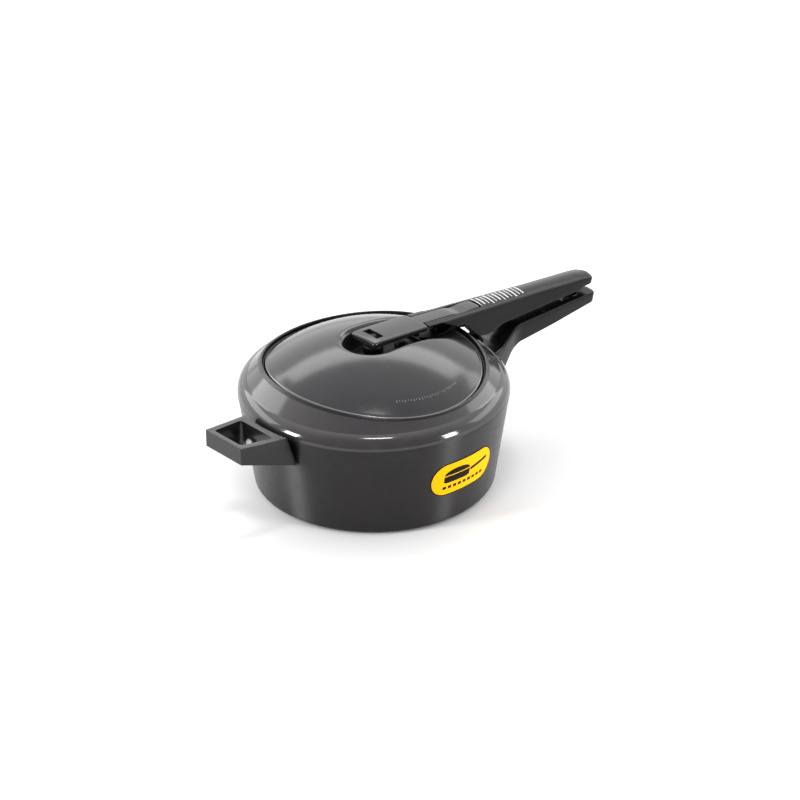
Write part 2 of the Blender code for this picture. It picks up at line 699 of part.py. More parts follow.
def lid_handle():
    """Upper grip: a tapering beam with a deep hip over the pot's shoulder."""
    end = HANDLE_END_X
    side = rounded([(48, handle_top(48), 0), (end - 10, handle_top(end - 10) + 0.6, 10),
                    (end, 102.6, 2), (end, 98.5, 1.5), (end - 12, 98.5, 1),
                    (end - 15, 93.4, 1.5), (134, 94.6, 6),
                    (123, 91.0, 5), (114.5, 91.0, 4), (93, 110.3, 2), (80, 110.3, 2),
                    (66, 119.4, 6), (48, 121.3, 0)])
    plan = rounded([(48, -13.7, 0), (85, -13.7, 20), (174, -10.8, 20), (end - 8, -10.6, 4),
                    (end, -6.5, 3), (end, 6.5, 3), (end - 8, 10.6, 4), (174, 10.8, 20),
                    (85, 13.7, 20), (48, 13.7, 0)])
    handle = outline_solid("lid_handle", side, -20, 20)
    keep_inside(handle, outline_solid("lid_handle_plan", plan, 80, 140, along="Z"))
    cut(handle, lever_recess(), strap_pocket(),
        rod("lever_pin_hole", (LEVER_PIVOT[0], -12.6, LEVER_PIVOT[1]),
            (LEVER_PIVOT[0], 12.6, LEVER_PIVOT[1]), PIN_HOLE, sides=16),
        rod("latch_pin_hole", (LATCH_PIVOT[0], -8.6, LATCH_PIVOT[1]),
            (LATCH_PIVOT[0], 8.6, LATCH_PIVOT[1]), PIN_HOLE, sides=16),
        outline_solid("latch_chamber", [(213, 90), (213, 102), (233, 102), (end + 1, 100.4),
                                        (end + 1, 90)], -4.3, 4.3),
        rod("screw_hole_a", (STRAP_SCREW_X, 0, 100), (STRAP_SCREW_X, 0, 109),
            STRAP_SCREW_HOLE, sides=12),
        rod("screw_hole_b", (COVER_SCREW_X, 0, 95), (COVER_SCREW_X, 0, 104.5),
            STRAP_SCREW_HOLE, sides=12))
    finish_piece(handle, PHENOLIC, 0.4, 0.0)


def lever_recess():
    """Channel in the handle's top, with room for the lever to rock about its pin."""
    x, z = LEVER_PIVOT
    end = LEVER_END_X + 1
    side = [(40, 150), (40, 110), (x - 12, z - 1.5), (x - 4, z - 3.3), (x + 4, z - 3.3),
            (x + 6, handle_top(x + 6) - 4.9), (end, handle_top(end) - 6.0), (end, 150)]
    return outline_solid("lever_recess", side, -LEVER_HALF - 0.9, LEVER_HALF + 0.9)


def strap_pocket():
    """Hollow of the handle's underside: the strap, the fulcrum lug and the cover."""
    roof = FULCRUM[1] + FULCRUM_RADIUS + GAP + STRAP_THICK + GAP
    side = [(60, 80), (60, 109), (72, 109.3), (78.3, 112.4), (91.1, 112.4), (100.2, roof),
            (152, roof), (152, 100.0), (205, 100.0), (205, 80)]
    return outline_solid("strap_pocket", side, -STRAP_HALF - GAP, STRAP_HALF + GAP)


def lid_handle_cover():
    """Plate that closes the hollow of the handle's underside."""
    side = [(128.0, 94.9), (204.7, 93.9), (204.7, 96.4), (128.0, 97.4)]
    cover = outline_solid("lid_handle_cover", side, -STRAP_HALF, STRAP_HALF)
    for x, radius in ((STRAP_SCREW_X, 4.5), (COVER_SCREW_X, STRAP_SCREW_HOLE)):
        cut(cover, rod(f"cover_hole_{x}", (x, 0, 90), (x, 0, 100), radius, sides=12))
    finish_piece(cover, PHENOLIC, 0.5, 0.0)


def lid_handle_screws():
    """One screw clamps the strap in the handle, the other holds the cover."""
    strap_low = FULCRUM[1] + FULCRUM_RADIUS + GAP
    strap_screw = screw_up("lid_handle_screw", STRAP_SCREW_X, strap_low - GAP, 108.5,
                           head_radius=3.6, shank=1.8)
    cover_screw = screw_up("lid_cover_screw", COVER_SCREW_X, 93.7, 104.0, head_radius=3.4,
                           shank=1.8)
    finish_piece(strap_screw, STEEL, 0.3, 1.0)
    finish_piece(cover_screw, STEEL, 0.3, 1.0)


def fingertip_lever():
    """Wide bar over the vent and a narrow tail set in the handle, rocking on one pin."""
    x, z = LEVER_PIVOT
    bar_side = rounded([(BAR_TIP_X, 123.0, 1), (BAR_TIP_X, 127.0, 2), (-5, 128.7, 8),
                        (BAR_BACK_X, handle_top(BAR_BACK_X) + 0.2, 0), (BAR_BACK_X, 118.2, 0),
                        (15, 120.8, 10)])
    bar = outline_solid("fingertip_lever", bar_side, -BAR_HALF, BAR_HALF)
    plan = rounded([(BAR_TIP_X, -BAR_HALF, 5), (BAR_BACK_X, -BAR_HALF + 0.3, 0),
                    (BAR_BACK_X, BAR_HALF - 0.3, 0), (BAR_TIP_X, BAR_HALF, 5)])
    keep_inside(bar, outline_solid("bar_plan", plan, 100, 140, along="Z"))
    tail_side = ([(BAR_BACK_X - 1, handle_top(BAR_BACK_X)), (LEVER_END_X, handle_top(LEVER_END_X)),
                  (LEVER_END_X, handle_top(LEVER_END_X) - LEVER_THICK),
                  (x + 5, handle_top(x + 5) - LEVER_THICK)]
                 + arc((x, z), 2.8, math.radians(-20), math.radians(-160), 5)
                 + [(x - 6, 117.4), (BAR_BACK_X - 1, 119.2)])
    tail = outline_solid("lever_tail", tail_side, -LEVER_HALF, LEVER_HALF)
    tail_plan = rounded([(40, -LEVER_HALF, 0), (LEVER_END_X, -LEVER_HALF, 3.5),
                         (LEVER_END_X, LEVER_HALF, 3.5), (40, LEVER_HALF, 0)])
    keep_inside(tail, outline_solid("tail_plan", tail_plan, 100, 140, along="Z"))
    join(bar, tail)
    cut(bar, box("steam_slot", (-SLOT_HALF, -9, 125.2), (SLOT_HALF, 9, 140)),
        rod("stem_hole", (0, 0, 110), (0, 0, 130), STEM_HOLE, sides=16),
        rod("lever_bore", (x, -20, z), (x, 20, z), PIN_HOLE, sides=16))
    finish_piece(bar, ANODISED, 0.35, 0.6)


def lever_pin():
    x, z = LEVER_PIVOT
    finish_piece(rod("lever_pin", (x, -12.3, z), (x, 12.3, z), PIN_RADIUS, sides=16),
                        STEEL, 0.25, 1.0)


def lever_spring():
    """Keeps the lever's tail up."""
    x = 102.0
    top = handle_top(x)
    spring = coil("lever_spring", (x, 0), 2.6, 0.3, top - 5.6, top - LEVER_THICK - 0.6, 1.5)
    finish_piece(spring, STEEL, 0.3, 1.0)


def pressure_weight():
    """Regulator weight over the vent, hung from the lever by the head of its stem."""
    profile = [(0, 126.8), (2.2, 126.8), (2.9, 126.2), (2.9, 125.6), (1.4, 125.6),
               (1.4, 120.9), (4.5, 119.6), (7.4, 118.8), (8.2, 117.6), (8.2, 111.6),
               (7.4, 110.6), (4.6, 110.6), (4.6, 114.6), (0, 115.4)]
    finish_piece(turned("pressure_weight", profile, closed=False), STEEL, 0.3, 1.0)


def latch_hook():
    """Hook under the handle's end with a ramped toe and a thumb tab."""
    x, z = LATCH_PIVOT
    side = ([(217.35, 87.5), (215.75, 83.0), (216.2, 81.6), (221.5, 81.2), (222.6, 94.6),
             (228, 94.8), (238.6, 93.6), (239.2, 94.6), (238.8, 95.8), (230, 97.6)]
            + arc((x, z), 3.0, math.radians(10), math.radians(170), 8) + [(217.6, 94)])
    hook = outline_solid("latch_hook", side, -3.7, 3.7)
    cut(hook, rod("latch_bore", (x, -10, z), (x, 10, z), PIN_HOLE, sides=16))
    finish_piece(hook, PHENOLIC, 0.4, 0.0)


def latch_pin():
    x, z = LATCH_PIVOT
    finish_piece(rod("latch_pin", (x, -8.3, z), (x, 8.3, z), PIN_RADIUS, sides=16),
                        STEEL, 0.25, 1.0)


def latch_spring():
    """Presses the thumb tab down, so that the toe stays under the keeper."""
    finish_piece(coil("latch_spring", (229.5, 0), 1.8, 0.25, 98.1, 101.7, 2.5), STEEL, 0.3, 1.0)


# ---------------------------------------------------------------- assembly

clear_scene()
PARTS = new_collection("pressure_cooker")
CUTTERS = new_collection("cutters")


def build():
    pot_body()
    body_handle()
    body_handle_bracket()
    wall_rivets("body_handle_rivet", BODY_RIVETS)
    body_handle_screw()
    latch_keeper()
    helper_handle()
    helper_bracket()
    wall_rivets("helper_rivet", HELPER_RIVETS)
    helper_screws()
    badge_label()
    lid()
    gasket()
    vent_tube()
    vent_nut()
    safety_valve()
    safety_valve_nut()
    lid_bracket()
    lid_bracket_rivets()
    lid_handle()
    lid_handle_cover()
    lid_handle_screws()
    fingertip_lever()
    lever_pin()
    lever_spring()
    pressure_weight()
    latch_hook()
    latch_pin()
    latch_spring()


build()
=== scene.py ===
"""Looks of the stovetop pressure cooker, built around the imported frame.

Sizes below are in millimetres; MM turns them into metres. The pot's and the lid's round
shapes are skins of rings, each a radius and a height at every compass angle. The handles
are skins of cross-sections along X.
"""
import json
import math

import bmesh
import bpy
from mathutils import Matrix, Vector


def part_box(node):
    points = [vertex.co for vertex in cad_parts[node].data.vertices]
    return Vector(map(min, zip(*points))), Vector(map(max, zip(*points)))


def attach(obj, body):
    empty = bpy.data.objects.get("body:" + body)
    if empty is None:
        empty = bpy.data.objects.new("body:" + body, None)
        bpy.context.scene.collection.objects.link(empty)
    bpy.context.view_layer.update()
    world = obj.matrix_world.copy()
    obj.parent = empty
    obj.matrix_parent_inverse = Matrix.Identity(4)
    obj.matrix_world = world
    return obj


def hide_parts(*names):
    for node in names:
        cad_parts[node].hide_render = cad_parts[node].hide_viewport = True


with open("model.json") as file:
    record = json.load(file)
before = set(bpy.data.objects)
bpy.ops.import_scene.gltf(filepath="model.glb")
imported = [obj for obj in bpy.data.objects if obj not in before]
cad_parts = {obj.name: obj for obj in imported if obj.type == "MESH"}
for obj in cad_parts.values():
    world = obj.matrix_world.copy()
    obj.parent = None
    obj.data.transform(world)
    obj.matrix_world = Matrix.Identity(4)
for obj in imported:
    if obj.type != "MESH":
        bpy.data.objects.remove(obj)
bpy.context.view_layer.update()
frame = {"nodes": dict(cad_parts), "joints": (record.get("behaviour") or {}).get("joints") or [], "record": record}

MM = 0.001


# ---------------------------------------------------------------- sizes from the frame

def node_box(name):
    """Lowest and highest corner of a CAD node, in millimetres."""
    low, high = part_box(name)
    return low / MM, high / MM


POT_HIGH = node_box("pot_body")[1]
LID_HIGH = node_box("lid")[1]
GRIP_HIGH = node_box("body_handle")[1]
TOP_GRIP_LOW, TOP_GRIP_HIGH = node_box("lid_handle")
HELPER_LOW, HELPER_HIGH = node_box("helper_handle")
LEVER_LOW, LEVER_HIGH = node_box("fingertip_lever")
BADGE_LOW, BADGE_HIGH = node_box("badge_label")
PIVOTS = {j["name"]: Vector(j.get("pos_m", (0, 0, 0))) / MM for j in frame["joints"]}

# Pot body: the side leans outward and turns in over a rounded shoulder to a 45 degree cone
POT_RADIUS = POT_HIGH.x
WALL = 3.25
WALL_SLOPE = 0.15
LEAN = math.atan(WALL_SLOPE)
BASE_RADIUS = POT_RADIUS - 12.0
BASE_CORNER = 5.0
SHOULDER_RADIUS = 12.5
SHOULDER_X = POT_RADIUS - SHOULDER_RADIUS
SHOULDER_Z = 80.3
SHOULDER_END = math.radians(70.0)
INNER_SHOULDER_END = math.radians(74.4)
SATIN_STEPS = 3             # steps of the shoulder's arc that keep the side's satin
INNER_CORNER = 2.5
MOUTH_ROUND = 1.1
MOUTH_A = 86.3
MOUTH_B = 93.7
CONE_OUT = (SHOULDER_X + SHOULDER_Z
            + SHOULDER_RADIUS * (math.cos(SHOULDER_END) + math.sin(SHOULDER_END)))
CONE_IN = CONE_OUT - WALL * math.sqrt(2)

# Lid
DOME_TOP = LID_HIGH.z
DOME_SPHERE = 144.3
LID_WALL = 2.5
LID_EDGE = -3.2
LID_DROP = 3.2
FLANGE_DROP = 5.1
FLANGE_REACH = 6.0
TROUGH_HALF = 23.0
TROUGH_NOSE_X = -2.5
TROUGH_FLOOR = 106.5
TROUGH_FOOT = -3.6          # distances from the trough's outline, inward negative
TROUGH_TOP = -0.4
TROUGH_LIP = 6.0
TROUGH_LINES = [-23.0, -18.0, -12.0, -7.0, -4.5, TROUGH_FOOT, -2.9, -2.3, -1.9, -1.6, -1.3, -1.0,
                -0.7, TROUGH_TOP, -0.1, 0.2, 0.6, 1.0, 1.5, 2.0, 2.6, 3.3, 4.1, 5.0, TROUGH_LIP]
DOME_ROWS = 26
# rings of the lid's edge painted light grey as a highlight
HIGHLIGHT_EDGE_RINGS = 3
GASKET_BEAD = 1.2

# Lower grip, upper grip, helper handle and lever
EDGE_BEVEL = 0.35
SEAT_GAP = 0.6
LATCH_CHAMBER_HALF = 4.3
POCKET_HALF = 9.3
HELPER_BEVEL = 1.4
HELPER_WINDOW_CORNER = 2.6
GRIP_CROWN = 1.3
GRIP_RISE = 0.0034          # how much less the crest falls than the lever's top, per millimetre
GRIP_FALL = 0.1074
GRIP_FRONT_X = TOP_GRIP_LOW.x
GRIP_FRONT_Z = 123.9
LEVER_HALF = 7.3
LEVER_BEVEL = 0.3
GROOVE_GAP = 0.9
BAR_HALF = 14.4
SLOT_HALF_X = 3.9
SLOT_HALF_Y = 9.0
SLOT_FLOOR = 124.6
SLOT_TOP = 127.9
STEM_HOLE = 2.4

# Badge, engraved strokes and printed strokes
BADGE_TURN = math.radians(-88.7)
BADGE_HALF_LENGTH = 33.3
BADGE_HALF_HEIGHT = 15.1
BADGE_BORDER = 0.8
PRINT_THICK = 0.12
BORDER_LIFT = 0.32
FIELD_LIFT = 0.40
PICTURE_LIFT = 0.47
PAN_LEFT, PAN_RIGHT = -21, 5
PAN_MIDDLE = -8
HOB_SQUARES = 9
LID_STROKES = 26
LID_STROKES_START = -118
LID_STROKES_SPAN = 44
LID_STROKES_PLACE = 0.85    # share of the way from the lid's middle to its edge
GRIP_STROKES = 12
GRIP_STROKE_LEAN = 0.12

FINE = 256                  # points round a ring

# Stage and camera
CAMERA_AZIMUTH = math.radians(-42.0)
CAMERA_ELEVATION = math.radians(28.5)
CAMERA_ROLL = math.radians(-0.49)
CAMERA_DISTANCE = 2.5575
CAMERA_RIGHT, CAMERA_UP = 0.02087, 0.01453
CAMERA_LENS = 142.06
AIM_HEIGHT = 51.15
FLOOR_GREY = (0.60, 0.60, 0.60)
TENT_NEAR, TENT_FAR = 0.35, 1.75

# CAD pieces in the trough's shadow take its darkened finish: painted shade
SHADED_PIECES = ("pressure_weight", "vent_", "safety_valve")


# ---------------------------------------------------------------- mesh tools

def new_piece(name, mesh, body, replaced=(), sharp=40):
    piece = bpy.data.objects.new(name, mesh)
    bpy.context.scene.collection.objects.link(piece)
    mesh.shade_smooth()
    mesh.set_sharp_from_angle(angle=math.radians(sharp))
    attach(piece, body)
    if replaced:
        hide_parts(*replaced)
    return piece


def to_mesh(name, shape):
    bmesh.ops.remove_doubles(shape, verts=shape.verts, dist=1e-6)
    bmesh.ops.dissolve_degenerate(shape, edges=shape.edges, dist=1e-7)
    mesh = bpy.data.meshes.new(name)
    shape.to_mesh(mesh)
    shape.free()
    face_outward(mesh)
    return mesh


def add_rows(shape, rows, wrap=True, loop=False, finish=None):
    """Faces between rows of points in millimetres; returns the rows of vertices.
    finish gives the material number of the strip that starts at a row."""
    made = [[shape.verts.new(Vector(p) * MM) for p in row] for row in rows]
    pairs = list(zip(made, made[1:]))
    if loop:
        pairs.append((made[-1], made[0]))
    for index, (row, other) in enumerate(pairs):
        count = len(row)
        for i in range(count if wrap else count - 1):
            j = (i + 1) % count
            face = shape.faces.new((row[i], row[j], other[j], other[i]))
            face.material_index = finish(index) if finish else 0
    return made


def ring_rows(rings, sides=FINE):
    """Points of rings given as functions of the compass angle."""
    rows = []
    for ring in rings:
        row = []
        for i in range(sides):
            angle = 2 * math.pi * i / sides
            radius, height = ring(angle)
            row.append((radius * math.cos(angle), radius * math.sin(angle), height))
        rows.append(row)
    return rows


def cap(shape, row, reverse=False):
    shape.faces.new(row[::-1] if reverse else row)


def face_outward(mesh):
    shape = bmesh.new()
    shape.from_mesh(mesh)
    bmesh.ops.recalc_face_normals(shape, faces=shape.faces)
    if shape.calc_volume(signed=True) < 0:
        bmesh.ops.reverse_faces(shape, faces=shape.faces)
    shape.to_mesh(mesh)
    shape.free()


def boolean(mesh_object, cutter_mesh, operation="DIFFERENCE"):
    """Cut a mesh object with a mesh and keep the result as its mesh."""
    cutter = bpy.data.objects.new("cutter", cutter_mesh)
    bpy.context.scene.collection.objects.link(cutter)
    step = mesh_object.modifiers.new("cut", "BOOLEAN")
    step.solver = "MANIFOLD"
    step.object = cutter
    step.operation = operation
    graph = bpy.context.evaluated_depsgraph_get()
    result = bpy.data.meshes.new_from_object(mesh_object.evaluated_get(graph))
    face_outward(result)
    mesh_object.modifiers.clear()
    old = mesh_object.data
    mesh_object.data = result
    bpy.data.objects.remove(cutter)
    bpy.data.meshes.remove(old)


def blurred(points, x, reach):
    """Height of a polyline at x, averaged over x - reach to x + reach: rounded corners."""
    steps = 12
    total = 0.0
    for i in range(steps + 1):
        total += along(points, x + reach * (2 * i / steps - 1))
    return total / (steps + 1)


def along(points, x):
    """Height of a polyline at x; held level beyond its ends."""
    if x <= points[0][0]:
        return points[0][1]
    for (x0, z0), (x1, z1) in zip(points, points[1:]):
        if x <= x1:
            return z0 + (z1 - z0) * (x - x0) / (x1 - x0)
    return points[-1][1]


def section(x, low, high, half_top, half_low, round_top, round_low, crown):
    """Cross-section of a grip at x: crowned top, rounded edges, drafted sides."""
    steps = 5
    right = []
    flat_low = max(half_low - round_low, 0.01)
    for i in range(3):
        right.append((flat_low * i / 2, low))
    for i in range(1, steps + 1):
        a = math.pi / 2 * i / steps
        right.append((half_low - round_low + round_low * math.sin(a),
                      low + round_low * (1 - math.cos(a))))
    shoulder = high - crown - round_top
    for i in range(1, 4):
        share = i / 4
        right.append((half_low + (half_top - half_low) * share,
                      low + round_low + (shoulder - low - round_low) * share))
    for i in range(steps + 1):
        a = math.pi / 2 * i / steps
        right.append((half_top - round_top + round_top * math.cos(a),
                      shoulder + round_top * math.sin(a)))
    flat_top = half_top - round_top
    for i in range(1, 7):
        y = flat_top * (1 - i / 6)
        right.append((y, high - crown * (y / flat_top) ** 2 if flat_top > 0 else high))
    left = [(-y, z) for y, z in right[-2:0:-1]]
    return [(x, y, z) for y, z in right + left]


def grip_mesh(name, stations):
    """Closed skin over cross-sections along X."""
    shape = bmesh.new()
    rows = [section(*station) for station in stations]
    made = add_rows(shape, rows)
    cap(shape, made[0], reverse=True)
    cap(shape, made[-1])
    return to_mesh(name, shape)


def rounded_end(make, x_end, radius, direction, steps):
    """Stations at an end that close in along a quarter circle; direction is +1 or -1."""
    stations = []
    for i in range(steps + 1):
        a = math.pi / 2 * i / steps
        x = x_end - direction * radius * (1 - math.sin(a))
        stations.append(make(x, radius * (1 - math.cos(a)) * 0.96))
    return stations if direction > 0 else stations[::-1]


def box_mesh(name, low, high):
    shape = bmesh.new()
    bmesh.ops.create_cube(shape, size=1.0)
    size = [(b - a) * MM for a, b in zip(low, high)]
    middle = [(b + a) / 2 * MM for a, b in zip(low, high)]
    bmesh.ops.scale(shape, vec=size, verts=shape.verts)
    bmesh.ops.translate(shape, vec=middle, verts=shape.verts)
    return to_mesh(name, shape)


# ---------------------------------------------------------------- materials

def node(tree, kind, **settings):
    made = tree.nodes.new(kind)
    for key, value in settings.items():
        if key in made.inputs:
            made.inputs[key].default_value = value
        else:
            setattr(made, key, value)
    return made


def base_material(name, colour, roughness, metallic, **sockets):
    material = bpy.data.materials.new(name)
    material.use_nodes = True
    tree = material.node_tree
    shader = tree.nodes["Principled BSDF"]
    shader.inputs["Base Color"].default_value = (*colour, 1)
    shader.inputs["Roughness"].default_value = roughness
    shader.inputs["Metallic"].default_value = metallic
    for key, value in sockets.items():
        shader.inputs[key].default_value = value
    place = tree.nodes.new("ShaderNodeTexCoord")
    return material, tree, shader, place.outputs["Object"]


def vary_roughness(tree, shader, place, scale, low, high):
    cloud = node(tree, "ShaderNodeTexNoise", Scale=scale, Detail=4)
    tree.links.new(place, cloud.inputs["Vector"])
    spread = node(tree, "ShaderNodeMapRange")
    spread.inputs["From Min"].default_value = 0.3
    spread.inputs["From Max"].default_value = 0.7
    spread.inputs["To Min"].default_value = low
    spread.inputs["To Max"].default_value = high
    tree.links.new(cloud.outputs["Fac"], spread.inputs["Value"])
    tree.links.new(spread.outputs["Result"], shader.inputs["Roughness"])


def vary_colour(tree, shader, place, scale, dark, light):
    cloud = node(tree, "ShaderNodeTexNoise", Scale=scale, Detail=5)
    tree.links.new(place, cloud.inputs["Vector"])
    ramp = tree.nodes.new("ShaderNodeValToRGB")
    ramp.color_ramp.elements[0].position = 0.3
    ramp.color_ramp.elements[0].color = (*dark, 1)
    ramp.color_ramp.elements[1].position = 0.7
    ramp.color_ramp.elements[1].color = (*light, 1)
    tree.links.new(cloud.outputs["Fac"], ramp.inputs["Fac"])
    tree.links.new(ramp.outputs["Color"], shader.inputs["Base Color"])


def grain_bump(tree, shader, place, scale, strength, distance):
    grain = node(tree, "ShaderNodeTexNoise", Scale=scale, Detail=6)
    tree.links.new(place, grain.inputs["Vector"])
    bump = node(tree, "ShaderNodeBump", Strength=strength, Distance=distance)
    tree.links.new(grain.outputs["Fac"], bump.inputs["Height"])
    tree.links.new(bump.outputs["Normal"], shader.inputs["Normal"])


def anodised(name, roughness, colour, level=0.42):
    """Hard-anodised aluminium: near-black oxide with a fine grain and a soft gloss."""
    material, tree, shader, place = base_material(
        name, colour, roughness, 0.0, **{"Specular IOR Level": level})
    vary_colour(tree, shader, place, 60, tuple(c * 0.88 for c in colour),
                tuple(c * 1.12 for c in colour))
    vary_roughness(tree, shader, place, 180, roughness * 0.88, roughness * 1.15)
    grain_bump(tree, shader, place, 2600, 0.03, 0.00001)
    return material


def spun(material, anisotropy):
    """Turn an even gloss into that of spun metal: highlights stretch across the turning."""
    tree = material.node_tree
    shader = tree.nodes["Principled BSDF"]
    around = node(tree, "ShaderNodeTangent", direction_type="RADIAL", axis="Z")
    tree.links.new(around.outputs["Tangent"], shader.inputs["Tangent"])
    shader.inputs["Anisotropic"].default_value = anisotropy
    shader.inputs["Anisotropic Rotation"].default_value = 0.25
    shader.inputs["Coat Weight"].default_value = 0.3
    shader.inputs["Coat Roughness"].default_value = 0.13
    return material


def phenolic(name, roughness, colour, level=0.16):
    """Moulded black phenolic: semi-gloss with a faint moulded unevenness."""
    material, tree, shader, place = base_material(
        name, colour, roughness, 0.0, **{"Specular IOR Level": level})
    vary_colour(tree, shader, place, 140, tuple(c * 0.94 for c in colour),
                tuple(c * 1.08 for c in colour))
    vary_roughness(tree, shader, place, 320, roughness * 0.9, roughness * 1.12)
    grain_bump(tree, shader, place, 1400, 0.02, 0.00001)
    return material


def steel(name, colour, roughness):
    material, tree, shader, place = base_material(name, colour, roughness, 1.0)
    vary_colour(tree, shader, place, 400, tuple(c * 0.85 for c in colour), colour)
    vary_roughness(tree, shader, place, 700, roughness * 0.8, roughness * 1.3)
    grain_bump(tree, shader, place, 3000, 0.1, 0.00002)
    return material


def plain_print(name, colour, roughness):
    """Ink or lacquer: even colour with a faint mottling."""
    material, tree, shader, place = base_material(name, colour, roughness, 0.0,
                                                  **{"Specular IOR Level": 0.08})
    vary_colour(tree, shader, place, 900, tuple(c * 0.94 for c in colour), colour)
    vary_roughness(tree, shader, place, 600, roughness * 0.9, roughness * 1.15)
    grain_bump(tree, shader, place, 2000, 0.05, 0.00002)
    return material


def rubber(name):
    colour = (0.010, 0.010, 0.011)
    material, tree, shader, place = base_material(name, colour, 0.6, 0.0)
    vary_colour(tree, shader, place, 500, tuple(c * 0.8 for c in colour),
                tuple(c * 1.4 for c in colour))
    vary_roughness(tree, shader, place, 500, 0.5, 0.75)
    grain_bump(tree, shader, place, 1800, 0.3, 0.00004)
    return material


BODY_FINISH = spun(anodised("body_anodised", 0.40, (0.0056, 0.0042, 0.0043), 0.27), 0.98)
# Glossier finish of the shoulder and cone, the pot's own polish; its base colour, several times lighter than the
# side's, is painted sheen for the cone's grey reflections
SHOULDER_SHEEN_FINISH = anodised("shoulder_polished_sheen", 0.10, (0.0260, 0.0240, 0.0255), 0.50)
LID_FINISH = anodised("lid_anodised", 0.16, (0.0090, 0.0088, 0.0105))
LEVER_FINISH = anodised("lever_anodised", 0.20, (0.010, 0.010, 0.012), 0.38)
GRIP_FINISH = phenolic("black_phenolic_moulding", 0.18, (0.0036, 0.0027, 0.0027))
# Same black phenolic as the grips, a touch lighter and greyer: painted sheen for the helper's lit faces
HELPER_SHEEN_FINISH = phenolic("helper_phenolic_sheen", 0.22, (0.0050, 0.0042, 0.0043), 0.45)
STEEL_FINISH = steel("bright_steel", (0.42, 0.42, 0.44), 0.28)
# Near-black steel for the brackets and rivets, which sit in gaps, under the lever and inside the grips: painted
# shade
SHADED_STEEL_FINISH = steel("steel_painted_shade", (0.016, 0.0155, 0.016), 0.36)
EDGE_FINISH = anodised("mouth_edge", 0.28, (0.0050, 0.0045, 0.0050), 0.3)
# Light grey, glossy colour on the lid's rolled edge: a painted highlight running round the rim
LID_EDGE_HIGHLIGHT_FINISH = anodised("lid_edge_painted_highlight", 0.20, (0.130, 0.128, 0.132), 0.9)
# Near-black, rough copy of the lid's anodising for the trough, the lever's slot and the pieces in them: painted
# shade
TROUGH_SHADE_FINISH = anodised("trough_painted_shade", 0.50, (0.0030, 0.0028, 0.0030), 0.15)
RUBBER_FINISH = rubber("gasket_black_rubber")
MARK_FINISH = anodised("engraved_mark", 0.5, (0.075, 0.074, 0.078))
YELLOW_FINISH = plain_print("badge_yellow", (0.90, 0.44, 0.0), 0.6)
BLACK_PRINT = plain_print("badge_black", (0.006, 0.005, 0.005), 0.35)
WHITE_PRINT = plain_print("white_print", (0.50, 0.50, 0.51), 0.5)


# ---------------------------------------------------------------- pot body

def oval_radius(angle, grow=0.0):
    a, b = MOUTH_A + grow, MOUTH_B + grow
    return a * b / math.hypot(b * math.cos(angle), a * math.sin(angle))


def fixed(radius, height):
    return lambda angle: (radius, height)


def arc_rings(centre_x, centre_z, radius, start, end, steps):
    rings = []
    for i in range(steps + 1):
        a = start + (end - start) * i / steps
        rings.append(fixed(centre_x + radius * math.cos(a), centre_z + radius * math.sin(a)))
    return rings


def cone_share(share, constant, crease, stop=0.0):
    """Ring on a cone, a share of the way from the crease to near the mouth's oval."""
    def ring(angle):
        radius = crease + (oval_radius(angle, stop) - crease) * share
        return radius, constant - radius
    return ring


def rim_ring(outward, drop):
    """Ring of the mouth's edge: outward of the oval, dropped from the cone's height there."""
    def ring(angle):
        radius = oval_radius(angle)
        return radius + outward, CONE_OUT - radius - drop
    return ring


def side_x(z, inset=0.0):
    return BASE_RADIUS + WALL_SLOPE * z - inset / math.cos(LEAN)


def pot_rings():
    """Rings from the base's centre up the outside and back down the inside, with the numbers
    of the rings where the polished, sheen-painted shoulder, the mouth's edge and the inside start."""
    rings = [fixed(r, 0.0) for r in (30, 60, 80, 90)]
    rings += arc_rings(side_x(BASE_CORNER, BASE_CORNER), BASE_CORNER, BASE_CORNER,
                       -math.pi / 2, -LEAN, 8)
    start_z = SHOULDER_Z - SHOULDER_RADIUS * math.sin(LEAN)
    rings += [fixed(side_x(z), z) for z in range(8, int(start_z), 6)]
    polished_sheen_start = len(rings) + SATIN_STEPS
    rings += arc_rings(SHOULDER_X, SHOULDER_Z, SHOULDER_RADIUS, -LEAN, SHOULDER_END, 18)
    crease = SHOULDER_X + SHOULDER_RADIUS * math.cos(SHOULDER_END)
    reach = MOUTH_ROUND * math.tan(math.radians(67.5))
    rings += [cone_share(share, CONE_OUT, crease, reach)
              for share in (0.02, 0.08, 0.25, 0.5, 0.75, 0.92)]
    rim = []
    for i in range(8):
        a = math.radians(45 + 135 * i / 7)
        # the edge's arc touches the 45 degree cone and the upright cut face
        rim.append(rim_ring(MOUTH_ROUND + MOUTH_ROUND * math.cos(a),
                            MOUTH_ROUND * (1 + math.sqrt(2)) - MOUTH_ROUND * math.sin(a)))
    rim.append(rim_ring(0.0, WALL * math.sqrt(2) - 0.4))
    inner_crease = SHOULDER_X + (SHOULDER_RADIUS - WALL) * math.cos(INNER_SHOULDER_END)
    inner = [cone_share(share, CONE_IN, inner_crease, 0.4) for share in (1.0, 0.6, 0.1)]
    inner += arc_rings(SHOULDER_X, SHOULDER_Z, SHOULDER_RADIUS - WALL, INNER_SHOULDER_END,
                       -LEAN, 12)
    inner += [fixed(side_x(z, WALL), z) for z in (60, 40, 20)]
    corner = WALL + INNER_CORNER
    inner += arc_rings(side_x(corner, corner), corner, INNER_CORNER, -LEAN, -math.pi / 2, 5)
    inner += [fixed(r, WALL) for r in (60, 30)]
    edge_start = len(rings) - 1
    return rings + rim + inner, (polished_sheen_start, edge_start, edge_start + len(rim))


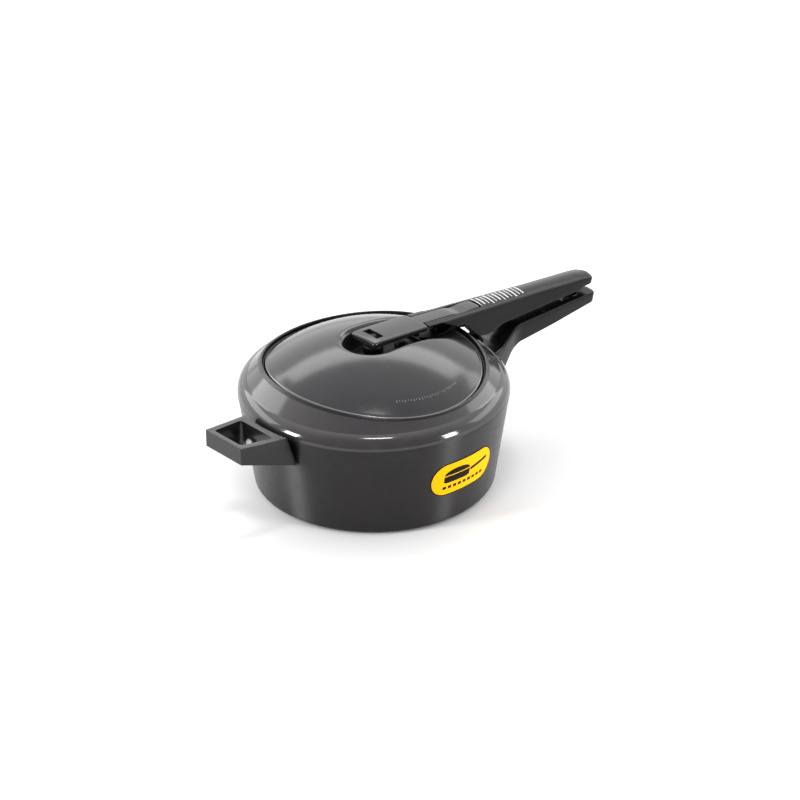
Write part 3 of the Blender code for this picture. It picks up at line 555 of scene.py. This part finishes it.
def make_pot():
    rings, (polished_sheen_start, edge, inside) = pot_rings()
    shape = bmesh.new()
    # Side and inside in satin; shoulder and cone in the polished finish with its painted sheen; the mouth's edge
    # in its own finish
    made = add_rows(shape, ring_rows(rings), finish=lambda ring: (
        0 if ring < polished_sheen_start or ring >= inside else 1 if ring < edge else 2))
    cap(shape, made[0], reverse=True)
    cap(shape, made[-1])
    mesh = to_mesh("cooker_pot", shape)
    for finish in (BODY_FINISH, SHOULDER_SHEEN_FINISH, EDGE_FINISH):
        mesh.materials.append(finish)
    new_piece("cooker_pot", mesh, "pot", ["pot_body"], sharp=20)


# ---------------------------------------------------------------- lid

def rim_height(angle):
    return CONE_OUT - oval_radius(angle)


def dome_height(x, y):
    """Height of the plain dome, without its trough."""
    radius = math.hypot(x, y)
    angle = math.atan2(y, x)
    share = radius / oval_radius(angle, LID_EDGE)
    mean = (MOUTH_A + MOUTH_B) / 2 + LID_EDGE
    fall = DOME_SPHERE - math.sqrt(DOME_SPHERE ** 2 - (share * mean) ** 2)
    full = DOME_SPHERE - math.sqrt(DOME_SPHERE ** 2 - mean ** 2)
    return DOME_TOP - (DOME_TOP - (rim_height(angle) - LID_DROP)) * fall / full


def trough_share(d):
    """How far the trough is pressed down, from 1 on its floor to 0 on the dome."""
    if d <= TROUGH_FOOT:
        return 1.0
    if d >= TROUGH_LIP:
        return 0.0
    if d <= TROUGH_TOP:
        t = (d - TROUGH_FOOT) / (TROUGH_TOP - TROUGH_FOOT)
        return 1.0 - 0.80 * t * t * (1.6 - 0.6 * t)
    t = (TROUGH_LIP - d) / (TROUGH_LIP - TROUGH_TOP)
    return 0.20 * t ** 2.6


def lid_height(x, y, d):
    dome = dome_height(x, y)
    depth = dome - TROUGH_FLOOR
    soft = 1.2
    depth = (depth + math.sqrt(depth * depth + soft * soft)) / 2
    return dome - depth * trough_share(d)


def trough_point(u, d, side):
    """Point of the trough's outline grown by d: u runs 0 to 1 along the straight side."""
    y = TROUGH_HALF + d
    end = (MOUTH_A + LID_EDGE) * math.sqrt(1 - (y / (MOUTH_B + LID_EDGE)) ** 2)
    return TROUGH_NOSE_X + (end - TROUGH_NOSE_X) * u, side * y


def outline_row(d):
    """Plan points of the outline grown by d, from the +Y end round the nose to the -Y end."""
    straight, bend = 60, 64
    plan = [trough_point(1 - i / straight, d, 1) for i in range(straight)]
    for i in range(bend + 1):
        a = math.pi / 2 + math.pi * i / bend
        plan.append((TROUGH_NOSE_X + (TROUGH_HALF + d) * math.cos(a),
                     (TROUGH_HALF + d) * math.sin(a)))
    plan += [trough_point((i + 1) / straight, d, -1) for i in range(straight)]
    return plan


def make_lid():
    """Dome with the pressed trough, its edge wall and the flange under the rim."""
    shape = bmesh.new()
    rows = []
    for d in TROUGH_LINES:
        rows.append([(x, y, lid_height(x, y, d)) for x, y in outline_row(d)])
    inner = outline_row(TROUGH_LINES[-1])
    first = math.atan2(inner[0][1] / (MOUTH_B + LID_EDGE), inner[0][0] / (MOUTH_A + LID_EDGE))
    count = len(inner)
    for k in range(1, DOME_ROWS + 1):
        share = k / DOME_ROWS
        row = []
        for i, (x, y) in enumerate(inner):
            a = first + (2 * math.pi - 2 * first) * i / (count - 1)
            outer = ((MOUTH_A + LID_EDGE) * math.cos(a), (MOUTH_B + LID_EDGE) * math.sin(a))
            px, py = x + (outer[0] - x) * share, y + (outer[1] - y) * share
            row.append((px, py, dome_height(px, py)))
        rows.append(row)
    wall_top = TROUGH_LINES.index(TROUGH_TOP)
    # The trough's floor and walls take the darkened trough finish: painted shade in the recess
    add_rows(shape, rows, wrap=False, finish=lambda row: 1 if row < wall_top else 0)
    bmesh.ops.remove_doubles(shape, verts=shape.verts, dist=2e-6)
    edge = [e for e in shape.edges if len(e.link_faces) == 1]
    rings = [lid_edge_ring(0.45, 0.2), lid_edge_ring(0.8, 0.55), lid_edge_ring(1.0, 1.0),
             lid_edge_ring(1.05, 1.6),
             flange_ring(LID_EDGE + 0.6, -0.8), flange_ring(LID_EDGE + 1.6, 0),
             flange_ring(FLANGE_REACH - 0.4, 0), flange_ring(FLANGE_REACH, 0.3),
             flange_ring(FLANGE_REACH, LID_WALL * 1.2)]
    for number, ring in enumerate(rings):
        made = bmesh.ops.extrude_edge_only(shape, edges=edge)["geom"]
        for face in [g for g in made if isinstance(g, bmesh.types.BMFace)]:
            # The first rings of the edge take the painted highlight
            face.material_index = 2 if number < HIGHLIGHT_EDGE_RINGS else 0
        for vertex in [g for g in made if isinstance(g, bmesh.types.BMVert)]:
            angle = math.atan2(vertex.co.y, vertex.co.x)
            radius, height = ring(angle)
            vertex.co = Vector((radius * math.cos(angle), radius * math.sin(angle), height)) * MM
        edge = [g for g in made if isinstance(g, bmesh.types.BMEdge)]
    mesh = to_mesh("cooker_lid", shape)
    for finish in (LID_FINISH, TROUGH_SHADE_FINISH, LID_EDGE_HIGHLIGHT_FINISH):
        mesh.materials.append(finish)
    piece = new_piece("cooker_lid", mesh, "lid", ["lid"], sharp=60)
    wall = piece.modifiers.new("wall", "SOLIDIFY")
    wall.thickness = (LID_WALL - 0.2) * MM
    wall.offset = -1


def lid_edge_ring(outward, drop):
    def ring(angle):
        return oval_radius(angle, LID_EDGE) + outward, rim_height(angle) - LID_DROP - drop
    return ring


def flange_ring(grow, drop):
    def ring(angle):
        radius = oval_radius(angle, grow)
        return radius, CONE_IN - FLANGE_DROP - radius - drop
    return ring


def make_gasket():
    """Rubber ring between flange and rim, with a rounded inner bead in the gap."""
    def ring(grow, drop):
        def place(angle):
            radius = oval_radius(angle, grow)
            return radius, CONE_IN - radius - drop
        return place
    low, high = FLANGE_DROP - 0.5, 0.5
    rings = [ring(-0.2, high), ring(FLANGE_REACH - 0.8, high), ring(FLANGE_REACH - 0.2, high + 0.6),
             ring(FLANGE_REACH - 0.2, low - 0.6), ring(FLANGE_REACH - 0.8, low), ring(-0.2, low)]
    middle = (low + high) / 2
    for i in range(1, 6):
        a = math.pi / 2 * (1 - 2 * i / 6)
        rings.append(ring(-0.2 - GASKET_BEAD * math.cos(a),
                          middle + (low - high) / 2 * math.sin(a)))
    shape = bmesh.new()
    add_rows(shape, ring_rows(rings), loop=True)
    mesh = to_mesh("lid_gasket", shape)
    mesh.materials.append(RUBBER_FINISH)
    new_piece("lid_gasket", mesh, "lid", ["gasket"])


# ---------------------------------------------------------------- grips

def grip_top(x):
    return GRIP_FRONT_Z - GRIP_FALL * (x - GRIP_FRONT_X)


def spaced(start, end, step):
    count = max(1, round((end - start) / step))
    return [start + (end - start) * i / count for i in range(count + 1)]


def quarter(x, end, radius):
    """Inset of a rounded corner of the given radius, at a distance x along an edge."""
    if x <= end - radius:
        return 0.0
    reach = min(x - (end - radius), radius)
    return radius - math.sqrt(radius ** 2 - reach ** 2)


def make_top_grip():
    """Upper handle: crowned top, flat sides, deep hip over the pot's shoulder."""
    end = TOP_GRIP_HIGH.x - 0.2
    underside = [(48, 121.2), (64, 119.4), (80, 110.4), (88.4, 110.1), (93, 105.0), (99, 99.0),
                 (105, 93.2), (114.5, 91.3), (123, 91.2), (133, 94.5), (end - 15, 93.6),
                 (end - 14.4, 95.4), (end + 9, 95.2)]
    crest = [(48, grip_top(48)), (end - 12, grip_top(end - 12) + 0.6), (end - 2, 103.3),
             (end + 9, 101.0)]
    widths = [(48, 13.6), (85, 13.5), (174, 10.7), (end + 9, 10.5)]
    draft = [(48, 13.6), (85, 13.5), (124, 12.0), (end, 9.8)]

    def station(x):
        inset = quarter(x, end + 0.6, 6.5)
        low = blurred(underside, x, 1.2) + quarter(x, end + 0.3, 1.2)
        top = blurred(crest, x, 3.0) + 0.1 - quarter(x, end + 0.3, 2.2)
        room = (top - low) * 0.3
        return (x, low, top, along(widths, x) - inset, along(draft, x) - inset,
                min(2.2, room), min(1.0, room), min(GRIP_CROWN, room))

    places = spaced(GRIP_FRONT_X + 0.3, end - 7, 1.5)
    places += [end - 7 * (1 - math.sin(math.pi / 2 * i / 12)) for i in range(1, 13)]
    grip = new_piece("upper_handle", grip_mesh("upper_handle", [station(x) for x in places]),
                     "lid", ["lid_handle"], sharp=38)
    for cutter in (lever_groove(), under_pocket(), latch_chamber(end)):
        boolean(grip, cutter)
    grip.data.materials.clear()
    grip.data.materials.append(GRIP_FINISH)
    soften(grip, EDGE_BEVEL)


def soften(piece, width, angle=38):
    """Small bevel on the remaining hard edges, so that they catch light."""
    piece.data.shade_smooth()
    step = piece.modifiers.new("soften", "BEVEL")
    step.width = width * MM
    step.segments = 2
    step.limit_method = "ANGLE"
    step.angle_limit = math.radians(angle)
    step.use_clamp_overlap = True
    return step


def prism_mesh(name, outline, low, high, along_axis="Y"):
    """Straight-sided solid over a plan (x, y) or side (x, z) outline, for cutting."""
    shape = bmesh.new()
    rows = []
    for level in (low, high):
        if along_axis == "Y":
            rows.append([(x, level, z) for x, z in outline])
        else:
            rows.append([(x, y, level) for x, y in outline])
    made = add_rows(shape, rows)
    cap(shape, made[0], reverse=True)
    cap(shape, made[1])
    return to_mesh(name, shape)


def lever_groove():
    """Channel for the lever's tail with a rounded rear end, deeper under the lever's boss."""
    half = LEVER_HALF + GROOVE_GAP
    rear = LEVER_HIGH.x + GROOVE_GAP
    corner = 3.6
    plan = [(30, -half), (rear - corner, -half)]
    for i in range(1, 6):
        a = -math.pi / 2 + math.pi / 2 * i / 6
        plan.append((rear - corner + corner * math.cos(a), -half + corner + corner * math.sin(a)))
    plan.append((rear, -half + corner))
    plan += [(x, -y) for x, y in plan[::-1]]
    x, z = PIVOTS["lever_press"].x, PIVOTS["lever_press"].z
    floor = [(40, 112.0), (x - 12, z - 1.5), (x - 4, z - 3.3), (x + 4, z - 3.3),
             (x + 6, grip_top(x + 6) - 4.9), (rear, grip_top(rear) - 6.1)]
    side = [(rear + 20, 140), (20, 140), (20, 112.0)] + floor + [(rear + 20, 109)]
    keep = bpy.data.objects.new("groove", prism_mesh("groove_side", side, -20, 20))
    bpy.context.scene.collection.objects.link(keep)
    boolean(keep, prism_mesh("groove_plan", plan, 90, 160, "Z"), "INTERSECT")
    mesh = keep.data.copy()
    bpy.data.objects.remove(keep)
    return mesh


def under_pocket():
    """Hollow underneath for the strap, the lug and the cover."""
    side = [(60, 80), (60, 109.2), (72, 109.3), (78.3, 112.4), (91.1, 112.4), (100.2, 103.3),
            (152, 103.3), (152, 100.0), (205, 100.0), (205, 80)]
    return prism_mesh("pocket", side, -POCKET_HALF, POCKET_HALF)


def latch_chamber(end):
    """Slot underneath near the end, where the latch swings."""
    side = [(213, 80), (213, 102), (233, 102), (end + 3, 100.4), (end + 3, 80)]
    return prism_mesh("chamber", side, -LATCH_CHAMBER_HALF, LATCH_CHAMBER_HALF)


def make_low_grip():
    """Lower handle: level grip, neck that drops and spreads to the pot's side."""
    end = GRIP_HIGH.x
    top = [(100, 79), (126, 79), (150, GRIP_HIGH.z), (end + 9, GRIP_HIGH.z)]
    under = [(112, 45.5), (119, 46.5), (133, 58), (141, 65.5), (153, 69.6), (191, 72.1),
             (end, 77.4)]
    widths = [(100, 24.6), (114, 23.6), (150, 12.0), (end + 9, 10.9)]

    def station(x, inset):
        low, high = blurred(under, x, 4.0), blurred(top, x, 4.0) - 0.05
        half = blurred(widths, x, 6.0)
        return (x, low + inset * 0.3, high - inset * 0.25, half - inset, half - 1.2 - inset,
                1.8, 1.6, 0.5)

    stations = [station(x, 0) for x in spaced(106.0, end - 5.5, 1.5)]
    stations += rounded_end(station, end - 0.2, 5.0, 1, steps=9)[1:]
    grip = new_piece("lower_handle", grip_mesh("lower_handle", stations), "pot",
                     ["body_handle"], sharp=38)
    boolean(grip, cone_mesh("seat", side_x(40) + SEAT_GAP, 40, side_x(90) + SEAT_GAP, 90))
    boolean(grip, box_mesh("slot", (207.5, -5.0, 79.5), (227, 5.0, 95)))
    grip.data.materials.clear()
    grip.data.materials.append(GRIP_FINISH)
    soften(grip, EDGE_BEVEL)


def cone_mesh(name, low_radius, low, high_radius, high):
    """Upright cone through two radii, reaching well past both, for trimming."""
    slope = (high_radius - low_radius) / (high - low)
    rings = [fixed(low_radius + slope * (z - low), z) for z in (10.0, 110.0)]
    shape = bmesh.new()
    made = add_rows(shape, ring_rows(rings, 192))
    cap(shape, made[0], reverse=True)
    cap(shape, made[1])
    return to_mesh(name, shape)


def make_helper():
    """Short handle: a wedge that rises outward, with a window through it. Its inner end
    leans away from the pot, so that a dark wedge shows between the two."""
    out_x, top_z = HELPER_LOW.x, HELPER_HIGH.z
    in_x = -108.0
    corners = [(out_x + 0.3, 21.3, 76.5, top_z - 0.2), (in_x, 26.0, 59.8, 85.6),
               (-98.0, 26.9, 55.6, 84.5)]
    shape = bmesh.new()
    rows = []
    for x, half, low, high in corners:
        rows.append([(x, -half, low), (x, half, low), (x, half, high), (x, -half, high)])
    made = add_rows(shape, rows)
    cap(shape, made[0], reverse=True)
    cap(shape, made[-1])
    piece = new_piece("helper_grip", to_mesh("helper_grip", shape), "pot",
                      ["helper_handle"], sharp=30)
    boolean(piece, cone_mesh("seat", side_x(56) + 0.7, 56, side_x(86) + 5.6, 86))
    window = rounded_plan([(out_x + 5.0, -16.2), (out_x + 5.0, 16.2), (-122.5, 19.6),
                           (-122.5, -19.6)], HELPER_WINDOW_CORNER)
    boolean(piece, prism_mesh("window", window, 40, 110, "Z"))
    piece.data.materials.clear()
    piece.data.materials.append(HELPER_SHEEN_FINISH)
    soften(piece, HELPER_BEVEL, 30).segments = 4


def rounded_plan(corners, radius, steps=5):
    """Plan outline with every corner rounded."""
    outline = []
    count = len(corners)
    for i, corner in enumerate(corners):
        here = Vector(corner)
        before = (Vector(corners[i - 1]) - here).normalized()
        after = (Vector(corners[(i + 1) % count]) - here).normalized()
        half = before.angle(after) / 2
        centre = here + (before + after).normalized() * radius / math.sin(half)
        first = here + before * radius / math.tan(half) - centre
        last = here + after * radius / math.tan(half) - centre
        turn = first.angle_signed(last)
        for k in range(steps + 1):
            spoke = Matrix.Rotation(-turn * k / steps, 2) @ first
            outline.append((centre.x + spoke.x, centre.y + spoke.y))
    return outline


# ---------------------------------------------------------------- lever

def make_lever():
    """Wide bar over the vent, stepped in to a narrow tail with a fingertip hollow."""
    tip, back, rear = LEVER_LOW.x + 0.1, 46.7, LEVER_HIGH.x - 0.1
    pivot = PIVOTS["lever_press"]
    top = [(tip, 128.3), (-4, 128.6), (back, grip_top(back) + 0.25),
           (rear + 5, grip_top(rear + 5))]
    under_bar = [(tip, 122.9), (15, 120.9), (back, 118.4)]
    half_bar = [(tip, BAR_HALF), (back, BAR_HALF - 0.3)]

    def bar(x, inset):
        return (x, along(under_bar, x) + inset * 0.6, blurred(top, x, 2.0) - inset * 0.5,
                along(half_bar, x) - inset, along(half_bar, x) - 0.8 - inset, 1.5, 1.3, 0.6)

    def tail(x, inset):
        hollow = 1.0 * math.exp(-((x - 89.0) / 6.0) ** 2) + 0.35 * math.exp(-((x - 96) / 8) ** 2)
        boss = max(0.0, 1 - ((x - pivot.x) / 6.0) ** 2)
        low = max(grip_top(x) - 3.0 - 2.8 * boss, pivot.z - 2.8)
        return (x, low + inset * 0.3, grip_top(x) + 0.1 - hollow - inset * 0.2,
                LEVER_HALF - inset, LEVER_HALF - inset, 0.8, 0.4, 0.15)

    front = rounded_end(bar, tip, 2.4, -1, steps=8)
    stations = front + [bar(x, 0) for x in spaced(tip + 4.0, back - 0.5, 1.5)]
    stations += [bar(back - 0.25, 0.25), bar(back, 0.6)]
    stations += [tail(x, 0) for x in spaced(back + 0.05, rear - 4.0, 1.2)]
    stations += rounded_end(tail, rear, 3.6, 1, steps=8)[1:]
    piece = new_piece("fingertip_bar", grip_mesh("fingertip_bar", stations), "lever",
                      ["fingertip_lever"], sharp=38)
    boolean(piece, box_mesh("slot", (-SLOT_HALF_X, -SLOT_HALF_Y, SLOT_FLOOR),
                            (SLOT_HALF_X, SLOT_HALF_Y, 140)))
    boolean(piece, cylinder_mesh("stem", (0, 0, 110), (0, 0, 130), STEM_HOLE))
    piece.data.materials.clear()
    piece.data.materials.append(LEVER_FINISH)
    # The slot's faces take the darkened trough finish: painted shade in the slot
    piece.data.materials.append(TROUGH_SHADE_FINISH)
    for face in piece.data.polygons:
        x, y, z = face.center / MM
        in_slot = abs(x) < SLOT_HALF_X + 0.05 and abs(y) < SLOT_HALF_Y + 0.05 and z < SLOT_TOP
        face.material_index = 1 if in_slot else 0
    soften(piece, LEVER_BEVEL)


def cylinder_mesh(name, start, end, radius):
    start, end = Vector(start), Vector(end)
    shape = bmesh.new()
    bmesh.ops.create_cone(shape, cap_ends=True, segments=32, radius1=radius * MM,
                          radius2=radius * MM, depth=(end - start).length * MM)
    turn = (end - start).to_track_quat("Z", "X").to_matrix().to_4x4()
    place = Matrix.Translation((start + end) / 2 * MM) @ turn
    bmesh.ops.transform(shape, matrix=place, verts=shape.verts)
    return to_mesh(name, shape)


# ---------------------------------------------------------------- badge and marks

def on_side(u, v, lift):
    """Point on the pot's side: u along it from the badge's middle, v its height."""
    angle = BADGE_TURN + u / (BASE_RADIUS + WALL_SLOPE * v)
    radius = side_x(v, -lift)
    return radius * math.cos(angle), radius * math.sin(angle), v


def side_patch(name, columns, lift, finish, replaced=()):
    """Thin patch on the pot's side over columns of (u, low, high)."""
    shape = bmesh.new()
    low = [on_side(u, a, lift) for u, a, b in columns]
    high = [on_side(u, b, lift) for u, a, b in columns]
    back_high = [on_side(u, b, lift - PRINT_THICK) for u, a, b in columns]
    back_low = [on_side(u, a, lift - PRINT_THICK) for u, a, b in columns]
    middle = [on_side(u, (a + b) / 2, lift) for u, a, b in columns]
    made = add_rows(shape, [low, middle, high, back_high, back_low], wrap=False, loop=True)
    for end in (0, -1):
        shape.faces.new([row[end] for row in made][::-1 if end == 0 else 1])
    mesh = to_mesh(name, shape)
    mesh.materials.append(finish)
    new_piece(name, mesh, "pot", replaced, sharp=50)


def oblong_columns(half_length, half_height, middle):
    """Columns of an oblong with half-round ends."""
    columns = []
    straight = half_length - half_height
    for i in range(15):
        a = math.pi / 2 * (1 - i / 14)
        rise = half_height * math.cos(a)
        columns.append((-straight - half_height * math.sin(a), middle - rise, middle + rise))
    columns[0] = (-half_length, middle - 0.01, middle + 0.01)
    columns += [(u, middle - half_height, middle + half_height)
                for u in spaced(-straight, straight, 2.0)[1:-1]]
    return columns + [(-u, low, high) for u, low, high in columns[14::-1]]


def bar_columns(left, right, low, high):
    return [(u, low, high) for u in spaced(left, right, 2.0)]


def make_badge():
    """Yellow oblong with a dark edge, a plain drawing of a covered pan and a row of squares."""
    middle = (BADGE_LOW.z + BADGE_HIGH.z) / 2
    side_patch("badge_border", oblong_columns(BADGE_HALF_LENGTH, BADGE_HALF_HEIGHT, middle),
               BORDER_LIFT, BLACK_PRINT, ["badge_label"])
    field = oblong_columns(BADGE_HALF_LENGTH - BADGE_BORDER, BADGE_HALF_HEIGHT - BADGE_BORDER,
                           middle)
    side_patch("badge_field", field, FIELD_LIFT, YELLOW_FINISH)
    pan = [(u, middle - 3.6 + 1.2 * max(0.0, abs(u - PAN_MIDDLE) - 10) ** 2 / 9, middle + 2.6)
           for u in spaced(PAN_LEFT, PAN_RIGHT, 1.0)]
    side_patch("badge_pan", pan, PICTURE_LIFT, BLACK_PRINT)
    half_pan = (PAN_RIGHT - PAN_LEFT) / 2
    dome = [(u, middle + 3.5,
             middle + 3.7 + 5.0 * math.sqrt(max(0, 1 - ((u - PAN_MIDDLE) / half_pan) ** 2)))
            for u in spaced(PAN_LEFT, PAN_RIGHT, 1.0)]
    side_patch("badge_pan_lid", dome, PICTURE_LIFT, BLACK_PRINT)
    handle = [(u, middle - 0.2 + 0.14 * (u - PAN_RIGHT), middle + 2.6 + 0.14 * (u - PAN_RIGHT))
              for u in spaced(5.8, 26, 2.0)]
    side_patch("badge_pan_handle", handle, PICTURE_LIFT, BLACK_PRINT)
    for i in range(HOB_SQUARES):
        u = -20.0 + 5.0 * i
        square = bar_columns(u - 1.6, u + 1.6, middle - 9.2, middle - 6.6)
        side_patch(f"badge_hob_{i + 1}", square, PICTURE_LIFT, BLACK_PRINT)


def make_lid_marks():
    """Faint engraved strokes on the dome near its front edge: a plain row, no lettering."""
    for i in range(LID_STROKES):
        turn = math.radians(LID_STROKES_START + LID_STROKES_SPAN * i / (LID_STROKES - 1))
        length = (2.2, 1.1, 1.7)[i % 3]
        shape = bmesh.new()
        rows = []
        for k in range(3):
            angle = turn + math.radians(0.55) * (k - 1) * 0.5
            row = []
            for radius_step, lift in ((0, 0.03), (length, 0.03), (length, -0.05), (0, -0.05)):
                radius = oval_radius(angle, LID_EDGE) * LID_STROKES_PLACE + radius_step
                x, y = radius * math.cos(angle), radius * math.sin(angle)
                row.append((x, y, dome_height(x, y) + lift))
            rows.append(row)
        made = add_rows(shape, rows)
        cap(shape, made[0], reverse=True)
        cap(shape, made[-1])
        mesh = to_mesh(f"lid_mark_{i + 1}", shape)
        mesh.materials.append(MARK_FINISH)
        new_piece(f"lid_mark_{i + 1}", mesh, "lid", sharp=50)


def make_grip_marks():
    """White printed strokes across the upper handle, behind the lever."""
    start, end = LEVER_HIGH.x + 2.0, LEVER_HIGH.x + 50.0
    for i in range(GRIP_STROKES):
        x = start + (end - start) * i / (GRIP_STROKES - 1)
        half_length = 6.5 if i % 3 else 8.2
        half_width = (1.3 if i % 2 else 0.8) / 2
        crest = grip_top(x) + 0.1 + GRIP_RISE * (x - GRIP_FRONT_X)
        shape = bmesh.new()
        rows = []
        for k in range(9):
            y = -half_length + 2 * half_length * k / 8
            left = x - half_width + y * GRIP_STROKE_LEAN
            right = x + half_width + y * GRIP_STROKE_LEAN
            z = crest - GRIP_CROWN * (y / 10.0) ** 2 + 0.12
            rows.append([(left, y, z - 0.15), (right, y, z - 0.15), (right, y, z), (left, y, z)])
        made = add_rows(shape, rows)
        cap(shape, made[0], reverse=True)
        cap(shape, made[-1])
        mesh = to_mesh(f"grip_mark_{i + 1}", shape)
        mesh.materials.append(WHITE_PRINT)
        new_piece(f"grip_mark_{i + 1}", mesh, "lid", sharp=50)


# ---------------------------------------------------------------- carried-over nodes

def finish_nodes():
    """The CAD's own small parts keep their shape and take a detailed finish."""
    # The record's black_steel pieces take the steel darkened as painted shade
    finishes = {"steel": STEEL_FINISH, "black_steel": SHADED_STEEL_FINISH,
                "black_phenolic": GRIP_FINISH, "hard_anodised": BODY_FINISH,
                "gasket_rubber": RUBBER_FINISH, "label": YELLOW_FINISH}
    for row in frame["record"]["subparts"]:
        piece = frame["nodes"][row["node"]]
        piece.data.materials.clear()
        # Pieces down in the trough take its darkened finish: painted shade
        in_trough_shade = row["node"].startswith(SHADED_PIECES)
        piece.data.materials.append(TROUGH_SHADE_FINISH if in_trough_shade else finishes[row["material_slot"]])


# ---------------------------------------------------------------- stage, light, camera

def make_floor():
    bpy.ops.mesh.primitive_plane_add(size=8.0, location=(0, 0, -0.0005))
    floor = bpy.context.object
    floor.name = "floor"
    material, tree, shader, place = base_material("floor_paper", FLOOR_GREY, 0.9, 0.0,
                                                  **{"Specular IOR Level": 0.0})
    vary_colour(tree, shader, place, 3, tuple(c * 0.99 for c in FLOOR_GREY), FLOOR_GREY)
    floor.data.materials.append(material)


def softbox(name, turn, rise, distance, width, height, radiance):
    """Rectangular light aimed at the cooker. Turn is measured from the camera's side, positive
    to its right; rise is the height above the horizon."""
    heading = CAMERA_AZIMUTH + math.radians(turn)
    rise = math.radians(rise)
    way = Vector((math.sin(heading) * math.cos(rise), -math.cos(heading) * math.cos(rise),
                  math.sin(rise)))
    light = bpy.data.lights.new(name, "AREA")
    light.shape = "RECTANGLE"
    light.size, light.size_y = width, height
    light.energy = radiance * math.pi * width * height
    lamp = bpy.data.objects.new(name, light)
    bpy.context.scene.collection.objects.link(lamp)
    lamp.location = Vector((0, 0, 0.08)) + way * distance
    lamp.rotation_euler = way.to_track_quat("Z", "Y").to_euler()


def make_world():
    """White tent, dimmer on the camera's side: brightness follows the direction seen."""
    world = bpy.data.worlds.new("studio")
    bpy.context.scene.world = world
    world.use_nodes = True
    tree = world.node_tree
    heading = Vector((math.sin(CAMERA_AZIMUTH), -math.cos(CAMERA_AZIMUTH), 0))
    way = tree.nodes.new("ShaderNodeTexCoord")
    towards = node(tree, "ShaderNodeVectorMath", operation="DOT_PRODUCT")
    towards.inputs[1].default_value = heading
    tree.links.new(way.outputs["Generated"], towards.inputs[0])
    spread = node(tree, "ShaderNodeMapRange", interpolation_type="SMOOTHSTEP")
    spread.inputs["From Min"].default_value = 0.75
    spread.inputs["From Max"].default_value = -0.45
    spread.inputs["To Min"].default_value = TENT_NEAR
    spread.inputs["To Max"].default_value = TENT_FAR
    tree.links.new(towards.outputs["Value"], spread.inputs["Value"])
    background = tree.nodes["Background"]
    background.inputs["Color"].default_value = (1, 1, 1, 1)
    tree.links.new(spread.outputs["Result"], background.inputs["Strength"])


def make_lights():
    """A panel and a bright strip at each side, a small window overhead and a broad sheet high
    behind: name, turn, rise, distance, width, height, radiance."""
    softbox("left_panel", -114, 24, 1.5, 1.30, 0.55, 3.4)
    softbox("left_strip", -68, 12, 1.5, 0.30, 0.60, 52.0)
    softbox("overhead_window", 8, 77, 1.5, 0.34, 0.18, 30.0)
    softbox("right_strip", 62, 12, 1.5, 0.28, 0.60, 34.0)
    softbox("right_panel", 114, 24, 1.5, 1.30, 0.55, 2.6)
    softbox("back_sheet", 180, 44, 2.0, 2.6, 0.6, 4.0)
    bpy.context.scene.view_settings.view_transform = "Standard"


def make_camera():
    azimuth, elevation, roll = CAMERA_AZIMUTH, CAMERA_ELEVATION, CAMERA_ROLL
    back = Vector((math.sin(azimuth) * math.cos(elevation),
                   -math.cos(azimuth) * math.cos(elevation), math.sin(elevation)))
    right = Vector((math.cos(azimuth), math.sin(azimuth), 0))
    up = back.cross(right)
    view_right = right * math.cos(roll) + up * math.sin(roll)
    view_up = -right * math.sin(roll) + up * math.cos(roll)
    camera = bpy.data.cameras.new("camera")
    camera.sensor_width = 36.0
    camera.lens = CAMERA_LENS
    camera.clip_end = 50
    rig = bpy.data.objects.new("camera", camera)
    bpy.context.scene.collection.objects.link(rig)
    aim = Vector((0, 0, AIM_HEIGHT)) * MM
    rig.location = aim + back * CAMERA_DISTANCE + view_right * CAMERA_RIGHT + view_up * CAMERA_UP
    rig.rotation_euler = Matrix((view_right, view_up, back)).transposed().to_euler()
    bpy.context.scene.camera = rig


make_camera()
make_world()
make_lights()
make_floor()
finish_nodes()
make_pot()
make_lid()
make_gasket()
make_top_grip()
make_low_grip()
make_helper()
make_lever()
make_badge()
make_grip_marks()
make_lid_marks()
